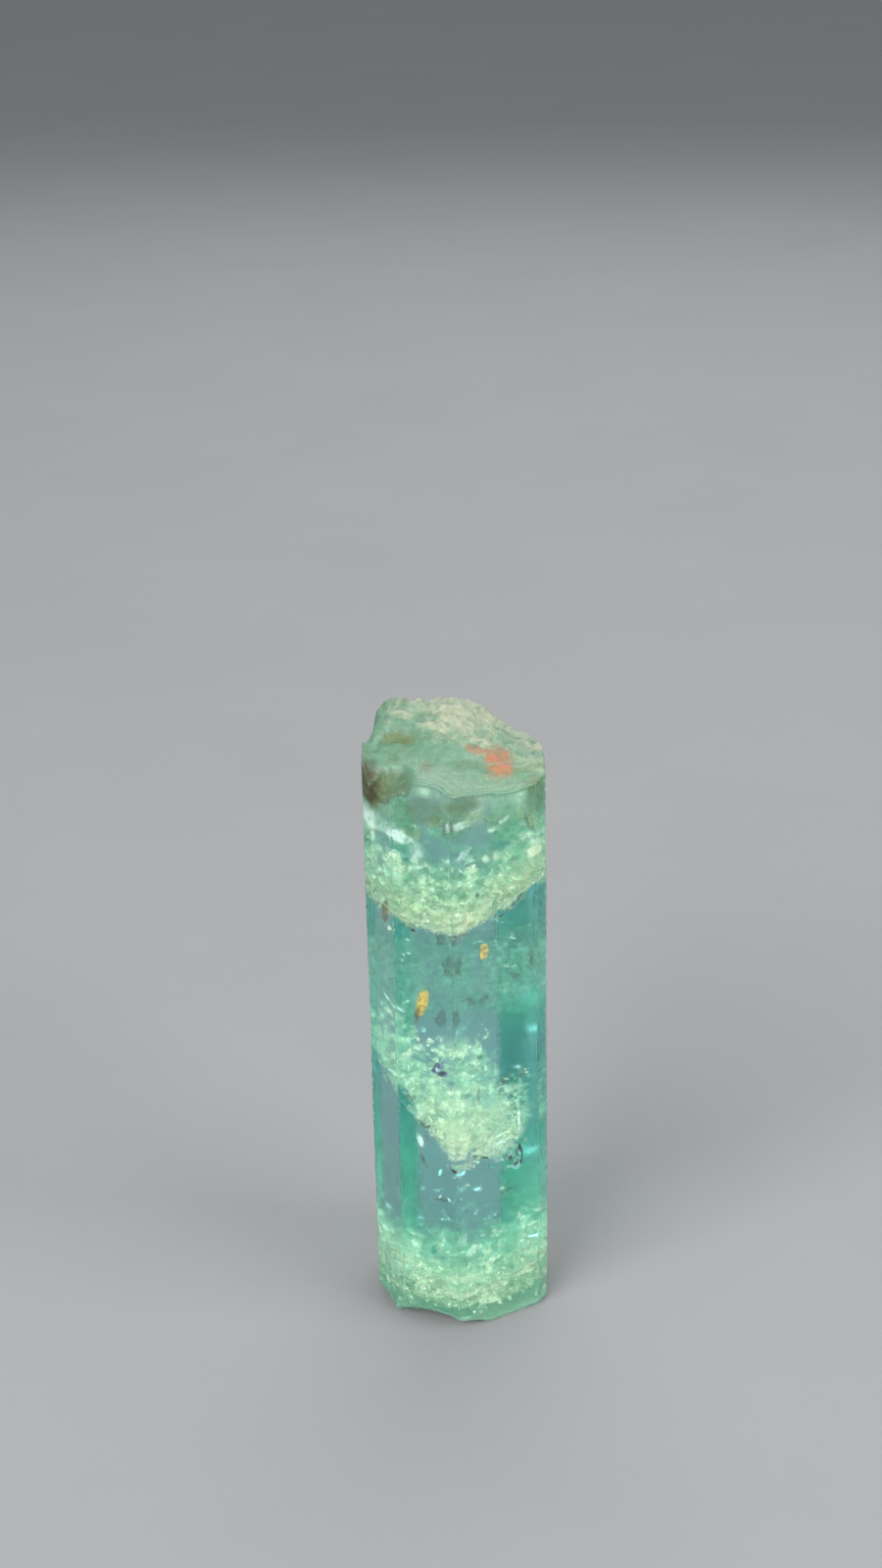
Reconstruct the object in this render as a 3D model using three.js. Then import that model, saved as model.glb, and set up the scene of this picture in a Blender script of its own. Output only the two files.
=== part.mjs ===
// A single emerald crystal: one hexagonal prism of beryl, picked from its matrix.
// It stands upright on the flat parting face at its foot and ends in a rough, etched dome.
// Millimetres, +Z up, origin at the middle of the foot, the long crystal axis along +Z.
import * as THREE from 'three';
import { mergeVertices } from 'three/addons/utils/BufferGeometryUtils.js';

// ---- driving dimensions ----
const HALF_WIDTH = 5.0; // axis to each side face, so the prism is 10 mm across
const SIDE_TOP = 33.7; // mean height of the rim where the prism faces end
const SUMMIT = 36.4; // highest point of the dome

// Prism faces, anticlockwise from +X: compass bearing of the outward normal in degrees, and the
// distance from the axis as a fraction of HALF_WIDTH. The six wide faces lie 60 degrees apart;
// the narrow ones between them bevel four of the long edges.
const PRISM_FACES = [
  { bearing: 0, reach: 1.0, strips: 5 }, // right
  { bearing: 30, reach: 1.09, strips: 2 }, // bevel, right rear
  { bearing: 60, reach: 0.99, strips: 6 }, // rear right
  { bearing: 120, reach: 1.01, strips: 6 }, // rear left
  { bearing: 150, reach: 1.06, strips: 2 }, // bevel, left rear
  { bearing: 180, reach: 1.0, strips: 4 }, // left
  { bearing: 210, reach: 0.998, strips: 3 }, // bevel, left front
  { bearing: 240, reach: 1.03, strips: 6 }, // front left
  { bearing: 300, reach: 0.97, strips: 6 }, // front right
  { bearing: 330, reach: 1.08, strips: 2 }, // bevel, right front
];

// Broad swells of the top, added to the rim height: centre, spread and rise.
const SWELLS = [
  { x: -0.9, y: 3.1, spread: 2.8, rise: 2.1 }, // main dome, behind the middle
  { x: 1.6, y: 3.6, spread: 1.2, rise: 0.35 }, // its right flank
  { x: -1.2, y: -4.6, spread: 1.5, rise: 0.45 }, // lip over the front edge
  { x: 4.3, y: 2.6, spread: 1.7, rise: -0.75 }, // fall towards the right
  { x: 2.6, y: -3.4, spread: 1.8, rise: -0.35 }, // low right front
];

// Broken corners: centre on the rim, radius of the break and its depth.
const TOP_CHIPS = [
  { x: -4.1, y: -3.6, radius: 2.0, depth: 1.7 }, // conchoidal break, left front
  { x: -5.3, y: 2.4, radius: 1.3, depth: 1.1 }, // step on the left shoulder
  { x: 3.0, y: 4.2, radius: 0.9, depth: 0.35 }, // notch, right rear
];
const FOOT_CHIPS = [
  { x: -2.0, y: -6.2, radius: 3.6, depth: 1.3 }, // front edge and the face left of it
  { x: -5.6, y: -1.6, radius: 2.2, depth: 0.8 }, // left bevel
  { x: 5.2, y: 3.4, radius: 1.4, depth: 0.6 }, // right rear
];

const GROWTH_STEP = 0.05; // how far the faces step in and out along their length
const ETCH_RELIEF = 0.22; // height of the rough etching on the top
const SIDE_RINGS = 20; // rings between the foot and the rim
const FOOT_RINGS = [0.3, 0.55, 0.75, 0.88]; // fractions of the section across the foot
const TOP_RINGS = [0.94, 0.86, 0.76, 0.66, 0.56, 0.46, 0.36, 0.26, 0.16, 0.08]; // and across the top

/** Corner where two prism faces meet, seen along the crystal axis. */
function faceCorner(first, second) {
  const a = THREE.MathUtils.degToRad(first.bearing);
  const b = THREE.MathUtils.degToRad(second.bearing);
  const da = first.reach * HALF_WIDTH;
  const db = second.reach * HALF_WIDTH;
  const turn = Math.sin(b - a);
  return new THREE.Vector2(
    (da * Math.sin(b) - db * Math.sin(a)) / turn,
    (db * Math.cos(a) - da * Math.cos(b)) / turn,
  );
}

/** The prism's section as points along its faces, with each corner a point. */
function sectionOutline() {
  const count = PRISM_FACES.length;
  const points = [];
  PRISM_FACES.forEach((face, i) => {
    const start = faceCorner(PRISM_FACES[(i + count - 1) % count], face);
    const end = faceCorner(face, PRISM_FACES[(i + 1) % count]);
    for (let k = 0; k < face.strips; k += 1) points.push(start.clone().lerp(end, k / face.strips));
  });
  return points;
}

/** A repeatable number from 0 to 1 for a whole-numbered place. */
function scatter(i, j) {
  const s = Math.sin(i * 127.1 + j * 311.7) * 43758.5453;
  return s - Math.floor(s);
}

/** Smooth noise from -1 to 1 that changes over about one unit of x and y. */
function roughness(x, y) {
  const i = Math.floor(x);
  const j = Math.floor(y);
  const u = THREE.MathUtils.smoothstep(x - i, 0, 1);
  const v = THREE.MathUtils.smoothstep(y - j, 0, 1);
  const near = THREE.MathUtils.lerp(scatter(i, j), scatter(i + 1, j), u);
  const far = THREE.MathUtils.lerp(scatter(i, j + 1), scatter(i + 1, j + 1), u);
  return 2 * THREE.MathUtils.lerp(near, far, v) - 1;
}

/** How deep a list of broken corners cuts at a place: a shallow bowl round each centre. */
function chipDepth(chips, x, y) {
  return chips.reduce((depth, chip) => {
    const inward = 1 - Math.hypot(x - chip.x, y - chip.y) / chip.radius;
    return Math.max(depth, inward > 0 ? chip.depth * Math.sqrt(inward) : 0);
  }, 0);
}

/** Height of the rough top over a place in the section. */
function topHeight(x, y) {
  const swell = SWELLS.reduce((sum, s) => {
    const distance = Math.hypot(x - s.x, y - s.y) / s.spread;
    return sum + s.rise * Math.exp(-0.5 * distance * distance);
  }, 0);
  const etch = ETCH_RELIEF * (0.6 * roughness(x * 0.9, y * 0.9) + 0.4 * roughness(x * 2.1, y * 2.1));
  return Math.min(SIDE_TOP + swell + etch - chipDepth(TOP_CHIPS, x, y), SUMMIT);
}

/** Height of the foot over a place in the section: flat, apart from its broken corners. */
function footHeight(x, y) {
  return chipDepth(FOOT_CHIPS, x, y);
}

/** Scale of the section at a height: slight steps in and out, left by growth along the axis. */
function sectionScale(height) {
  const wave = Math.sin(height * 0.9 + Math.sin(height * 0.37));
  return 1 - (GROWTH_STEP / HALF_WIDTH) * (0.5 - 0.5 * wave);
}

/**
 * The crystal as one closed body. A lathe supplies the rings from the middle of the foot, up the
 * faces and over to the middle of the top. Each of its points is then moved on to the section:
 * its angle picks the place along the outline, and its profile point picks the height.
 */
function crystalGeometry() {
  const outline = sectionOutline();
  const foot = [0, ...FOOT_RINGS].map((fraction) => new THREE.Vector2(fraction, 0));
  const sides = Array.from({ length: SIDE_RINGS + 1 }, (_, i) => new THREE.Vector2(1, i / SIDE_RINGS));
  const top = [...TOP_RINGS, 0].map((fraction) => new THREE.Vector2(fraction, 1));
  const geometry = new THREE.LatheGeometry([...foot, ...sides, ...top], outline.length);
  const position = geometry.getAttribute('position');
  const turn = 2 * Math.PI;
  for (let i = 0; i < position.count; i += 1) {
    const level = position.getY(i);
    const fraction = Math.hypot(position.getX(i), position.getZ(i));
    const angle = Math.atan2(position.getX(i), position.getZ(i)) + turn;
    const place = outline[Math.round((angle / turn) * outline.length) % outline.length];
    const x = place.x * fraction;
    const y = place.y * fraction;
    const low = footHeight(x, y);
    const height = THREE.MathUtils.lerp(low, topHeight(x, y), level);
    const scale = sectionScale(height);
    position.setXYZ(i, x * scale, y * scale, height);
  }
  geometry.deleteAttribute('normal');
  geometry.deleteAttribute('uv');
  const merged = mergeVertices(geometry, 1e-3);
  merged.computeVertexNormals();
  return merged;
}

const emerald = new THREE.MeshStandardMaterial({ color: 0x7fc9ae, roughness: 0.15, metalness: 0 });
const crystal = new THREE.Mesh(crystalGeometry(), emerald);
crystal.name = 'emerald_crystal';

const group = new THREE.Group();
group.add(crystal);

export default group;
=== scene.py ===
"""A single emerald crystal: a hexagonal prism of beryl, with what is sealed in it.

The crystal's skin takes the place of the plain CAD solid. It has the prism faces with their growth
steps, the etched dome at the top, the chipped foot, and the open fractures inside, which are real
hollows in the one closed mesh. Healed fractures, iron stains and dark flecks lie inside it as
pieces of their own. Shapes are worked out in millimetres and put into the meshes in metres.
"""

import logging
from collections.abc import Sequence
from dataclasses import dataclass, field
from enum import Enum

import bpy
import numpy as np
from mathutils import Matrix, Vector


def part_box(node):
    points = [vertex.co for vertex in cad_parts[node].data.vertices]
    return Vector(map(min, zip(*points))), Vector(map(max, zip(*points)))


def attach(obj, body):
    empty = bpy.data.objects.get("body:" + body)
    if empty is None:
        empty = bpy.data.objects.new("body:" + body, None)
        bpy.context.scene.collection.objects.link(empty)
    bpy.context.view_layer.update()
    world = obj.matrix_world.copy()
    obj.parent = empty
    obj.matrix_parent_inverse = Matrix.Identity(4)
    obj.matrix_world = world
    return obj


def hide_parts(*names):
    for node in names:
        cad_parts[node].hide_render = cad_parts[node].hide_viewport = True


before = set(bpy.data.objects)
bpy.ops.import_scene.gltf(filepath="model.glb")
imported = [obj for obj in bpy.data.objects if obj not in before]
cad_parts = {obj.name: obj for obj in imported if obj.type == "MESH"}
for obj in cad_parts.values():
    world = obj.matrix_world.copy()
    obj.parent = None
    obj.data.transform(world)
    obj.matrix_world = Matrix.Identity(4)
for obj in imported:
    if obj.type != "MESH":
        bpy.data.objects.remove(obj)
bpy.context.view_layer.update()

log = logging.getLogger("emerald")

MM = 0.001  # metres in a millimetre
NODE = "emerald_crystal"
BODY = "root"
CREASE = 48  # degrees between two faces past which their edge is drawn sharp

Array = np.ndarray
Triple = tuple[float, float, float]
Stops = tuple[tuple[float, float], ...]


# ---------------------------------------------------------------- noise


def lattice(cell: Array, seed: int) -> Array:
    """A repeatable number from 0 to 1 for each whole-numbered cell.

    The three whole numbers of a cell are multiplied by large odd numbers and their bits mixed.

    Args:
        cell: whole numbers, shape (..., 3).
        seed: picks another set of numbers.

    Returns:
        Numbers from 0 to 1, shape (...).
    """
    c = cell.astype(np.int64) & 0xFFFFFF
    h = c[..., 0] * 73856093 ^ c[..., 1] * 19349663 ^ c[..., 2] * 83492791 ^ (seed * 2654435761)
    h = (h ^ (h >> 15)) * 2246822519 & 0xFFFFFFFF
    h = (h ^ (h >> 13)) * 3266489917 & 0xFFFFFFFF
    return ((h ^ (h >> 16)) & 0xFFFFFF) / float(0xFFFFFF)


def noise(points: Array, seed: int) -> Array:
    """Smooth noise from -1 to 1 that changes over about one unit.

    Each point takes the values at the eight corners of its unit cell, weighted by smooth steps
    of its place in the cell along each axis.

    Args:
        points: places, shape (..., 3).
        seed: picks another pattern.

    Returns:
        Noise values, shape (...).
    """
    low = np.floor(points)
    t = points - low
    t = t * t * (3 - 2 * t)
    total = np.zeros(points.shape[:-1])
    for dx in (0, 1):
        for dy in (0, 1):
            for dz in (0, 1):
                corner = np.array([dx, dy, dz])
                weight = np.prod(np.where(corner == 1, t, 1 - t), axis=-1)
                total = total + weight * lattice(low + corner, seed)
    return 2 * total - 1


def layered(points: Array, seed: int, octaves: int = 4, gain: float = 0.5) -> Array:
    """Noise from about -1 to 1 with finer and weaker layers added, each at twice the detail.

    Args:
        points: places, shape (..., 3).
        seed: picks another pattern.
        octaves: how many layers.
        gain: strength of each layer beside the one before.

    Returns:
        Noise values, shape (...).
    """
    strengths = gain ** np.arange(octaves)
    layers = [s * noise(points * 2.0**i, seed + i) for i, s in enumerate(strengths)]
    return sum(layers) / strengths.sum()


def ridges(points: Array, seed: int, octaves: int = 3) -> Array:
    """Noise from 0 to 1 with sharp crests: one less the size of layered noise, squared."""
    return (1 - np.abs(layered(points, seed, octaves))) ** 2


def smooth(low: float, high: float, value: Array) -> Array:
    """A smooth step from 0 at low to 1 at high."""
    t = np.clip((value - low) / (high - low), 0, 1)
    return t * t * (3 - 2 * t)


def flattened(x: Array, y: Array, level: float = 0.0) -> Array:
    """Places in plan as points at one level, for noise that doesn't change with height."""
    return np.stack([x, y, np.full_like(x, level)], axis=-1)


def full_turn(count: int) -> Array:
    """Bearings of so many points evenly round a circle, in radians."""
    return np.arange(count) / count * 2 * np.pi


def headings(bearing: Array) -> Array:
    """Unit vectors in plan along bearings given in radians."""
    return np.stack([np.cos(bearing), np.sin(bearing)], axis=-1)


# ---------------------------------------------------------------- meshes


@dataclass
class Shell:
    """Part of a mesh: points in millimetres, its faces, and values that its material reads.

    Attributes:
        points: shape (n, 3).
        quads: shape (m, 4), indices of points.
        tris: shape (k, 3), indices of points.
        values: a number per point for each named attribute.
    """

    points: Array
    quads: Array
    tris: Array
    values: dict[str, Array] = field(default_factory=dict)

    def flipped(self) -> "Shell":
        """The same shell with its faces turned to look the other way."""
        return Shell(self.points, self.quads[:, ::-1], self.tris[:, ::-1], self.values)


def joined(shells: Sequence[Shell], names: Sequence[str] = ()) -> Shell:
    """Several shells as one, with a value of 0 where a shell lacks a named attribute.

    Args:
        shells: the shells, in the order in which their points are kept.
        names: the attributes that the result has.

    Returns:
        The one shell.
    """
    starts = np.cumsum([0] + [len(s.points) for s in shells])
    return Shell(
        np.concatenate([s.points for s in shells]),
        np.concatenate([s.quads + k for s, k in zip(shells, starts)]),
        np.concatenate([s.tris + k for s, k in zip(shells, starts)]),
        {
            n: np.concatenate([s.values.get(n, np.zeros(len(s.points))) for s in shells])
            for n in names
        },
    )


def ring_faces(rows: int, columns: int, start: int = 0) -> Array:
    """Quads between closed rings of points, one ring after another.

    Point j of row i is number start + i * columns + j, and each quad joins it to the next point
    of its own ring and to the same two points of the next ring.

    Args:
        rows: number of rings.
        columns: points in a ring.
        start: number of the first point.

    Returns:
        Indices, shape ((rows - 1) * columns, 4).
    """
    i, j = np.meshgrid(np.arange(rows - 1), np.arange(columns), indexing="ij")
    k = (j + 1) % columns
    quads = [i * columns + j, i * columns + k, (i + 1) * columns + k, (i + 1) * columns + j]
    return start + np.stack(quads, axis=-1).reshape(-1, 4)


def fan_faces(pole: int, ring_start: int, columns: int, outward: bool) -> Array:
    """Triangles from a pole to a ring, wound one way or the other.

    Args:
        pole: number of the pole.
        ring_start: number of the ring's first point.
        columns: points in the ring.
        outward: True if the ring runs anticlockwise as seen from the side that they face.

    Returns:
        Indices, shape (columns, 3).
    """
    j = np.arange(columns)
    a, b = ring_start + j, ring_start + (j + 1) % columns
    pair = (a, b) if outward else (b, a)
    return np.stack([np.full(columns, pole), *pair], axis=-1)


def no_faces(corners: int) -> Array:
    """An empty list of faces."""
    return np.zeros((0, corners), dtype=int)


def make_piece(name: str, shell: Shell, material: bpy.types.Material) -> bpy.types.Object:
    """Puts a shell into a mesh object that rides on the crystal's body.

    Args:
        name: the piece's name.
        shell: its points and faces, in millimetres.
        material: its finish.

    Returns:
        The new object.
    """
    mesh = bpy.data.meshes.new(name)
    faces = shell.quads.tolist() + shell.tris.tolist()
    mesh.from_pydata((shell.points * MM).tolist(), [], faces)
    for key, value in shell.values.items():
        layer = mesh.attributes.new(key, "FLOAT", "POINT")
        layer.data.foreach_set("value", np.asarray(value, dtype=np.float32))
    mesh.polygons.foreach_set("use_smooth", np.ones(len(faces), dtype=bool))
    mesh.update()
    mesh.materials.append(material)
    piece = bpy.data.objects.new(name, mesh)
    bpy.context.scene.collection.objects.link(piece)
    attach(piece, BODY)
    log.info("%s: %d points, %d faces", name, len(shell.points), len(faces))
    return piece


# ---------------------------------------------------------------- shader nodes


@dataclass(frozen=True)
class Value:
    """A node's output that can be added, multiplied and so on, each time with a Math node."""

    graph: "Graph"
    socket: bpy.types.NodeSocket

    def __add__(self, other: "Value | float") -> "Value":
        """This plus other."""
        return self.graph.maths("ADD", self, other)

    __radd__ = __add__

    def __mul__(self, other: "Value | float") -> "Value":
        """This times other."""
        return self.graph.maths("MULTIPLY", self, other)

    __rmul__ = __mul__

    def __sub__(self, other: "Value | float") -> "Value":
        """This less other."""
        return self.graph.maths("SUBTRACT", self, other)

    def __rsub__(self, other: "Value | float") -> "Value":
        """Other less this."""
        return self.graph.maths("SUBTRACT", other, self)

    def clipped(self) -> "Value":
        """This held between 0 and 1."""
        return self.graph.maths("ADD", self, 0.0, use_clamp=True)


class Graph:
    """The node tree of one material."""

    def __init__(self, name: str) -> None:
        """Makes an empty material.

        Args:
            name: the material's name.
        """
        self.material = bpy.data.materials.new(name)
        self.material.use_nodes = True
        self.tree = self.material.node_tree
        self.tree.nodes.clear()
        self.output = self.tree.nodes.new("ShaderNodeOutputMaterial")

    def node(
        self, kind: str, settings: dict[str, object], inputs: dict[str | int, object], out: str | int = 0
    ) -> Value:
        """Adds a node.

        Args:
            kind: the node's type, without the ShaderNode that it starts with.
            settings: its own settings, such as a Math node's operation, set first.
            inputs: a value or a link for each socket, by its name or number.
            out: name or number of the output that is wanted.

        Returns:
            That output.
        """
        node = self.tree.nodes.new("ShaderNode" + kind)
        for key, setting in settings.items():
            setattr(node, key, setting)
        for key, value in inputs.items():
            if isinstance(value, Value):
                self.tree.links.new(value.socket, node.inputs[key])
            else:
                node.inputs[key].default_value = value
        return Value(self, node.outputs[out])

    def maths(self, operation: str, a: object, b: object, use_clamp: bool = False) -> Value:
        """A Math node on two values or links."""
        return self.node("Math", {"operation": operation, "use_clamp": use_clamp}, {0: a, 1: b})

    def place(self) -> Value:
        """The point on the piece, in metres, from Object coordinates."""
        return self.node("TexCoord", {}, {}, "Object")

    def scaled(self, scale: Triple) -> Value:
        """The point on the piece with each axis scaled, for a pattern of so many units a metre."""
        return self.node("Mapping", {}, {"Vector": self.place(), "Scale": scale})

    def attribute(self, name: str) -> Value:
        """A number that the mesh holds at each point."""
        return self.node("Attribute", {"attribute_name": name}, {}, "Fac")

    def grain(self, scale: Triple | float, detail: float = 3.0, rough: float = 0.6) -> Value:
        """Fine noise from 0 to 1.

        Args:
            scale: features in a metre, along each axis or along all.
            detail: number of finer layers in it.
            rough: strength of each layer beside the one before.

        Returns:
            The noise.
        """
        scale = scale if isinstance(scale, tuple) else (scale, scale, scale)
        inputs = {"Vector": self.scaled(scale), "Scale": 1.0, "Detail": detail, "Roughness": rough}
        return self.node("TexNoise", {}, inputs, "Fac")

    def swirl(self, scale: float, reach: float) -> Value:
        """A vector of noise, to bend a pattern.

        Args:
            scale: features in a metre.
            reach: furthest that it goes along an axis, in metres.

        Returns:
            The vector.
        """
        noise_inputs = {"Vector": self.place(), "Scale": scale, "Detail": 2.0}
        colour = self.node("TexNoise", {}, noise_inputs, "Color")
        centred = self.node("VectorMath", {"operation": "SUBTRACT"}, {0: colour, 1: (0.5, 0.5, 0.5)})
        return self.node("VectorMath", {"operation": "SCALE"}, {0: centred, "Scale": 2 * reach})

    def between(self, value: Value, low: float, high: float) -> Value:
        """A smooth step of value, from 0 at low to 1 at high."""
        settings = {"interpolation_type": "SMOOTHSTEP"}
        return self.node("MapRange", settings, {"Value": value, "From Min": low, "From Max": high})

    def tint(self, factor: object, a: object, b: object) -> Value:
        """A colour between two others.

        Args:
            factor: share of b, from 0 to 1.
            a: colour at 0.
            b: colour at 1.

        Returns:
            The mixed colour.
        """
        node = self.tree.nodes.new("ShaderNodeMix")
        node.data_type = "RGBA"
        for socket, value in ((node.inputs[0], factor), (node.inputs[6], a), (node.inputs[7], b)):
            if isinstance(value, Value):
                self.tree.links.new(value.socket, socket)
            elif isinstance(value, tuple):
                socket.default_value = (*value, 1)
            else:
                socket.default_value = value
        return Value(self, node.outputs[2])

    def bump(self, height: Value, strength: float, distance: float) -> Value:
        """A Bump node's normal."""
        return self.node("Bump", {}, {"Height": height, "Strength": strength, "Distance": distance})

    def principled(self, inputs: dict[str | int, object]) -> Value:
        """A Principled shader."""
        colours = {k: (*v, 1) if isinstance(v, tuple) and len(v) == 3 else v for k, v in inputs.items()}
        return self.node("BsdfPrincipled", {}, colours)

    def mixed(self, factor: object, a: Value, b: Value) -> Value:
        """Shader a mixed into shader b by factor."""
        return self.node("MixShader", {}, {0: factor, 1: a, 2: b})

    def finish(self, surface: Value, volume: Value | None = None) -> bpy.types.Material:
        """Wires the shaders to the output.

        Args:
            surface: shader of the surface.
            volume: shader of what lies inside, if any.

        Returns:
            The material.
        """
        self.tree.links.new(surface.socket, self.output.inputs["Surface"])
        if volume is not None:
            self.tree.links.new(volume.socket, self.output.inputs["Volume"])
        return self.material


# ---------------------------------------------------------------- finishes


@dataclass(frozen=True)
class Emerald:
    """Clear blue-green beryl: glossy faces, a frosted, weathered top and iron stains on its skin.

    Attributes:
        ior: how much it bends light.
        passed: share of red, green and blue light that gets through depth.
        depth: length of that path, in metres.
        polish: roughness of a clean face.
        frost: roughness added on the etched top.
        haze: roughness added on the walls of the fractures.
        mint: colour of the etched skin.
        moss: colour that the mint drifts to.
        chalk: colour of its pale, weathered parts.
        cream: colour of the broken foot, and painted light on the olive coat under the rim, where the
            upright faces get little light.
        shade: colour of the painted shade in its hollows and creases and along the ledge.
        rust: colour of the iron stain.
        umber: colour of the dark stain.
        olive: colour of the thin green-brown coat and stains; under the rim it is partly painted shade of
            the rim's underside.
        etched: tint of the light that goes in through the etched top.
        matt: roughness of the weathered skin.
        gleam: strength of its mirror light.
        fine: its finest grain, in units a metre, so that more is finer.
        coarse: its middle grain.
        broad: its largest grain, along each axis.
    """

    ior: float = 1.58
    passed: Triple = (0.36, 0.78, 0.75)
    depth: float = 0.010
    polish: float = 0.09
    frost: float = 0.40
    haze: float = 0.26
    mint: Triple = (0.044, 0.108, 0.066)
    moss: Triple = (0.058, 0.114, 0.060)
    chalk: Triple = (0.165, 0.180, 0.120)
    cream: Triple = (0.42, 0.62, 0.47)
    # painted shade: the colour put into the creases, the low parts of the top and the ledge
    shade: Triple = (0.04, 0.065, 0.033)
    rust: Triple = (0.17, 0.062, 0.027)
    umber: Triple = (0.017, 0.017, 0.002)
    # olive: partly a real coat, partly painted shade of the rim's underside on the faces below it
    olive: Triple = (0.046, 0.066, 0.022)
    etched: Triple = (0.50, 0.66, 0.55)
    matt: float = 0.52
    gleam: float = 0.3
    fine: float = 7000.0
    coarse: float = 2200.0
    broad: Triple = (700.0, 700.0, 900.0)

    def material(self) -> bpy.types.Material:
        """Builds the material: clear beryl, under weathered skin as far as the crust covers it.

        Returns:
            The material.
        """
        g = Graph("emerald")
        etch, crackle = g.attribute("etch"), g.attribute("crackle")
        fine, coarse = g.grain(self.fine, 3.0), g.grain(self.coarse, 4.0)
        broad = g.grain(self.broad, 4.0)
        lines = g.grain((14000, 14000, 500), 2.0, 0.4)
        height = (fine * 0.4 + coarse * 1.3) * etch + lines * (1 - etch) * 0.10 + coarse * crackle * 2.0
        speckle = 1.15 - g.between(coarse, 0.4, 0.62) * 0.65
        roughness = etch * speckle * self.frost + crackle * self.haze + self.polish + broad * 0.1
        clear = g.principled(
            {
                "Base Color": g.tint(etch * 0.7, (1.0, 1.0, 1.0), self.etched),
                "Roughness": roughness,
                "IOR": self.ior,
                "Transmission Weight": 1.0,
                "Normal": g.bump(height, 0.5, 0.00012),
            }
        )
        skin = g.principled(
            {
                "Base Color": self.skin_colour(g, fine, coarse, broad),
                "Roughness": self.matt,
                "Specular IOR Level": self.gleam,
                "Normal": g.bump(height, 0.8, 0.00018),
            }
        )
        share = (g.attribute("crust") * (coarse * 0.7 + 0.65)).clipped()
        return g.finish(g.mixed(share, clear, skin), self.absorption(g))

    def skin_colour(self, g: Graph, fine: Value, coarse: Value, broad: Value) -> Value:
        """Mint and chalk on the skin, then painted shade in creases and hollows, the olive coat and stains,
        one over another.

        Args:
            g: the material's nodes.
            fine: the finest grain, from 0 to 1.
            coarse: the middle one.
            broad: the largest one.

        Returns:
            The colour.
        """
        pale = g.between(g.attribute("pale") + (coarse - 0.5) * 1.1 + (fine - 0.5) * 0.7, 0.0, 1.0)
        # painted shade: darkest in the low places of the middle grain, the creases of the top
        creases = 1 - g.between(coarse + (fine - 0.5) * 0.6, 0.32, 0.48)
        green = g.tint(g.between(broad, 0.4, 0.62), self.mint, self.moss)
        toned = g.tint(pale, green, self.chalk)
        creamy = g.tint(g.attribute("cream") * (1.1 - g.between(coarse, 0.4, 0.65) * 0.6), toned, self.cream)
        # painted shade: the shade colour goes over the low parts, the ledge and the creases
        shaded = g.tint(g.attribute("hollow") + creases * 0.4, creamy, self.shade)
        # olive coat and stains; under the rim partly painted shade of its underside
        olive_and_rim_shaded = g.tint(g.attribute("olive"), shaded, self.olive)
        rusty = g.tint(g.attribute("rust") * (g.between(coarse, 0.3, 0.6) * 0.45 + 0.55), olive_and_rim_shaded, self.rust)
        return g.tint(g.attribute("umber") * (coarse * 0.5 + 0.7), rusty, self.umber)

    def absorption(self, g: Graph) -> Value:
        """Volume absorption that lets the passed share of each colour through depth.

        The share falls as an exponential of the distance, so each colour is taken at minus the
        logarithm of its share for each depth.

        Args:
            g: the material's nodes.

        Returns:
            The volume's shader.
        """
        taken = [-float(np.log(share)) / self.depth for share in self.passed]
        density = max(taken)
        colour = tuple(1 - t / density for t in taken)
        return g.node("VolumeAbsorption", {}, {"Color": (*colour, 1), "Density": density})


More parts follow.
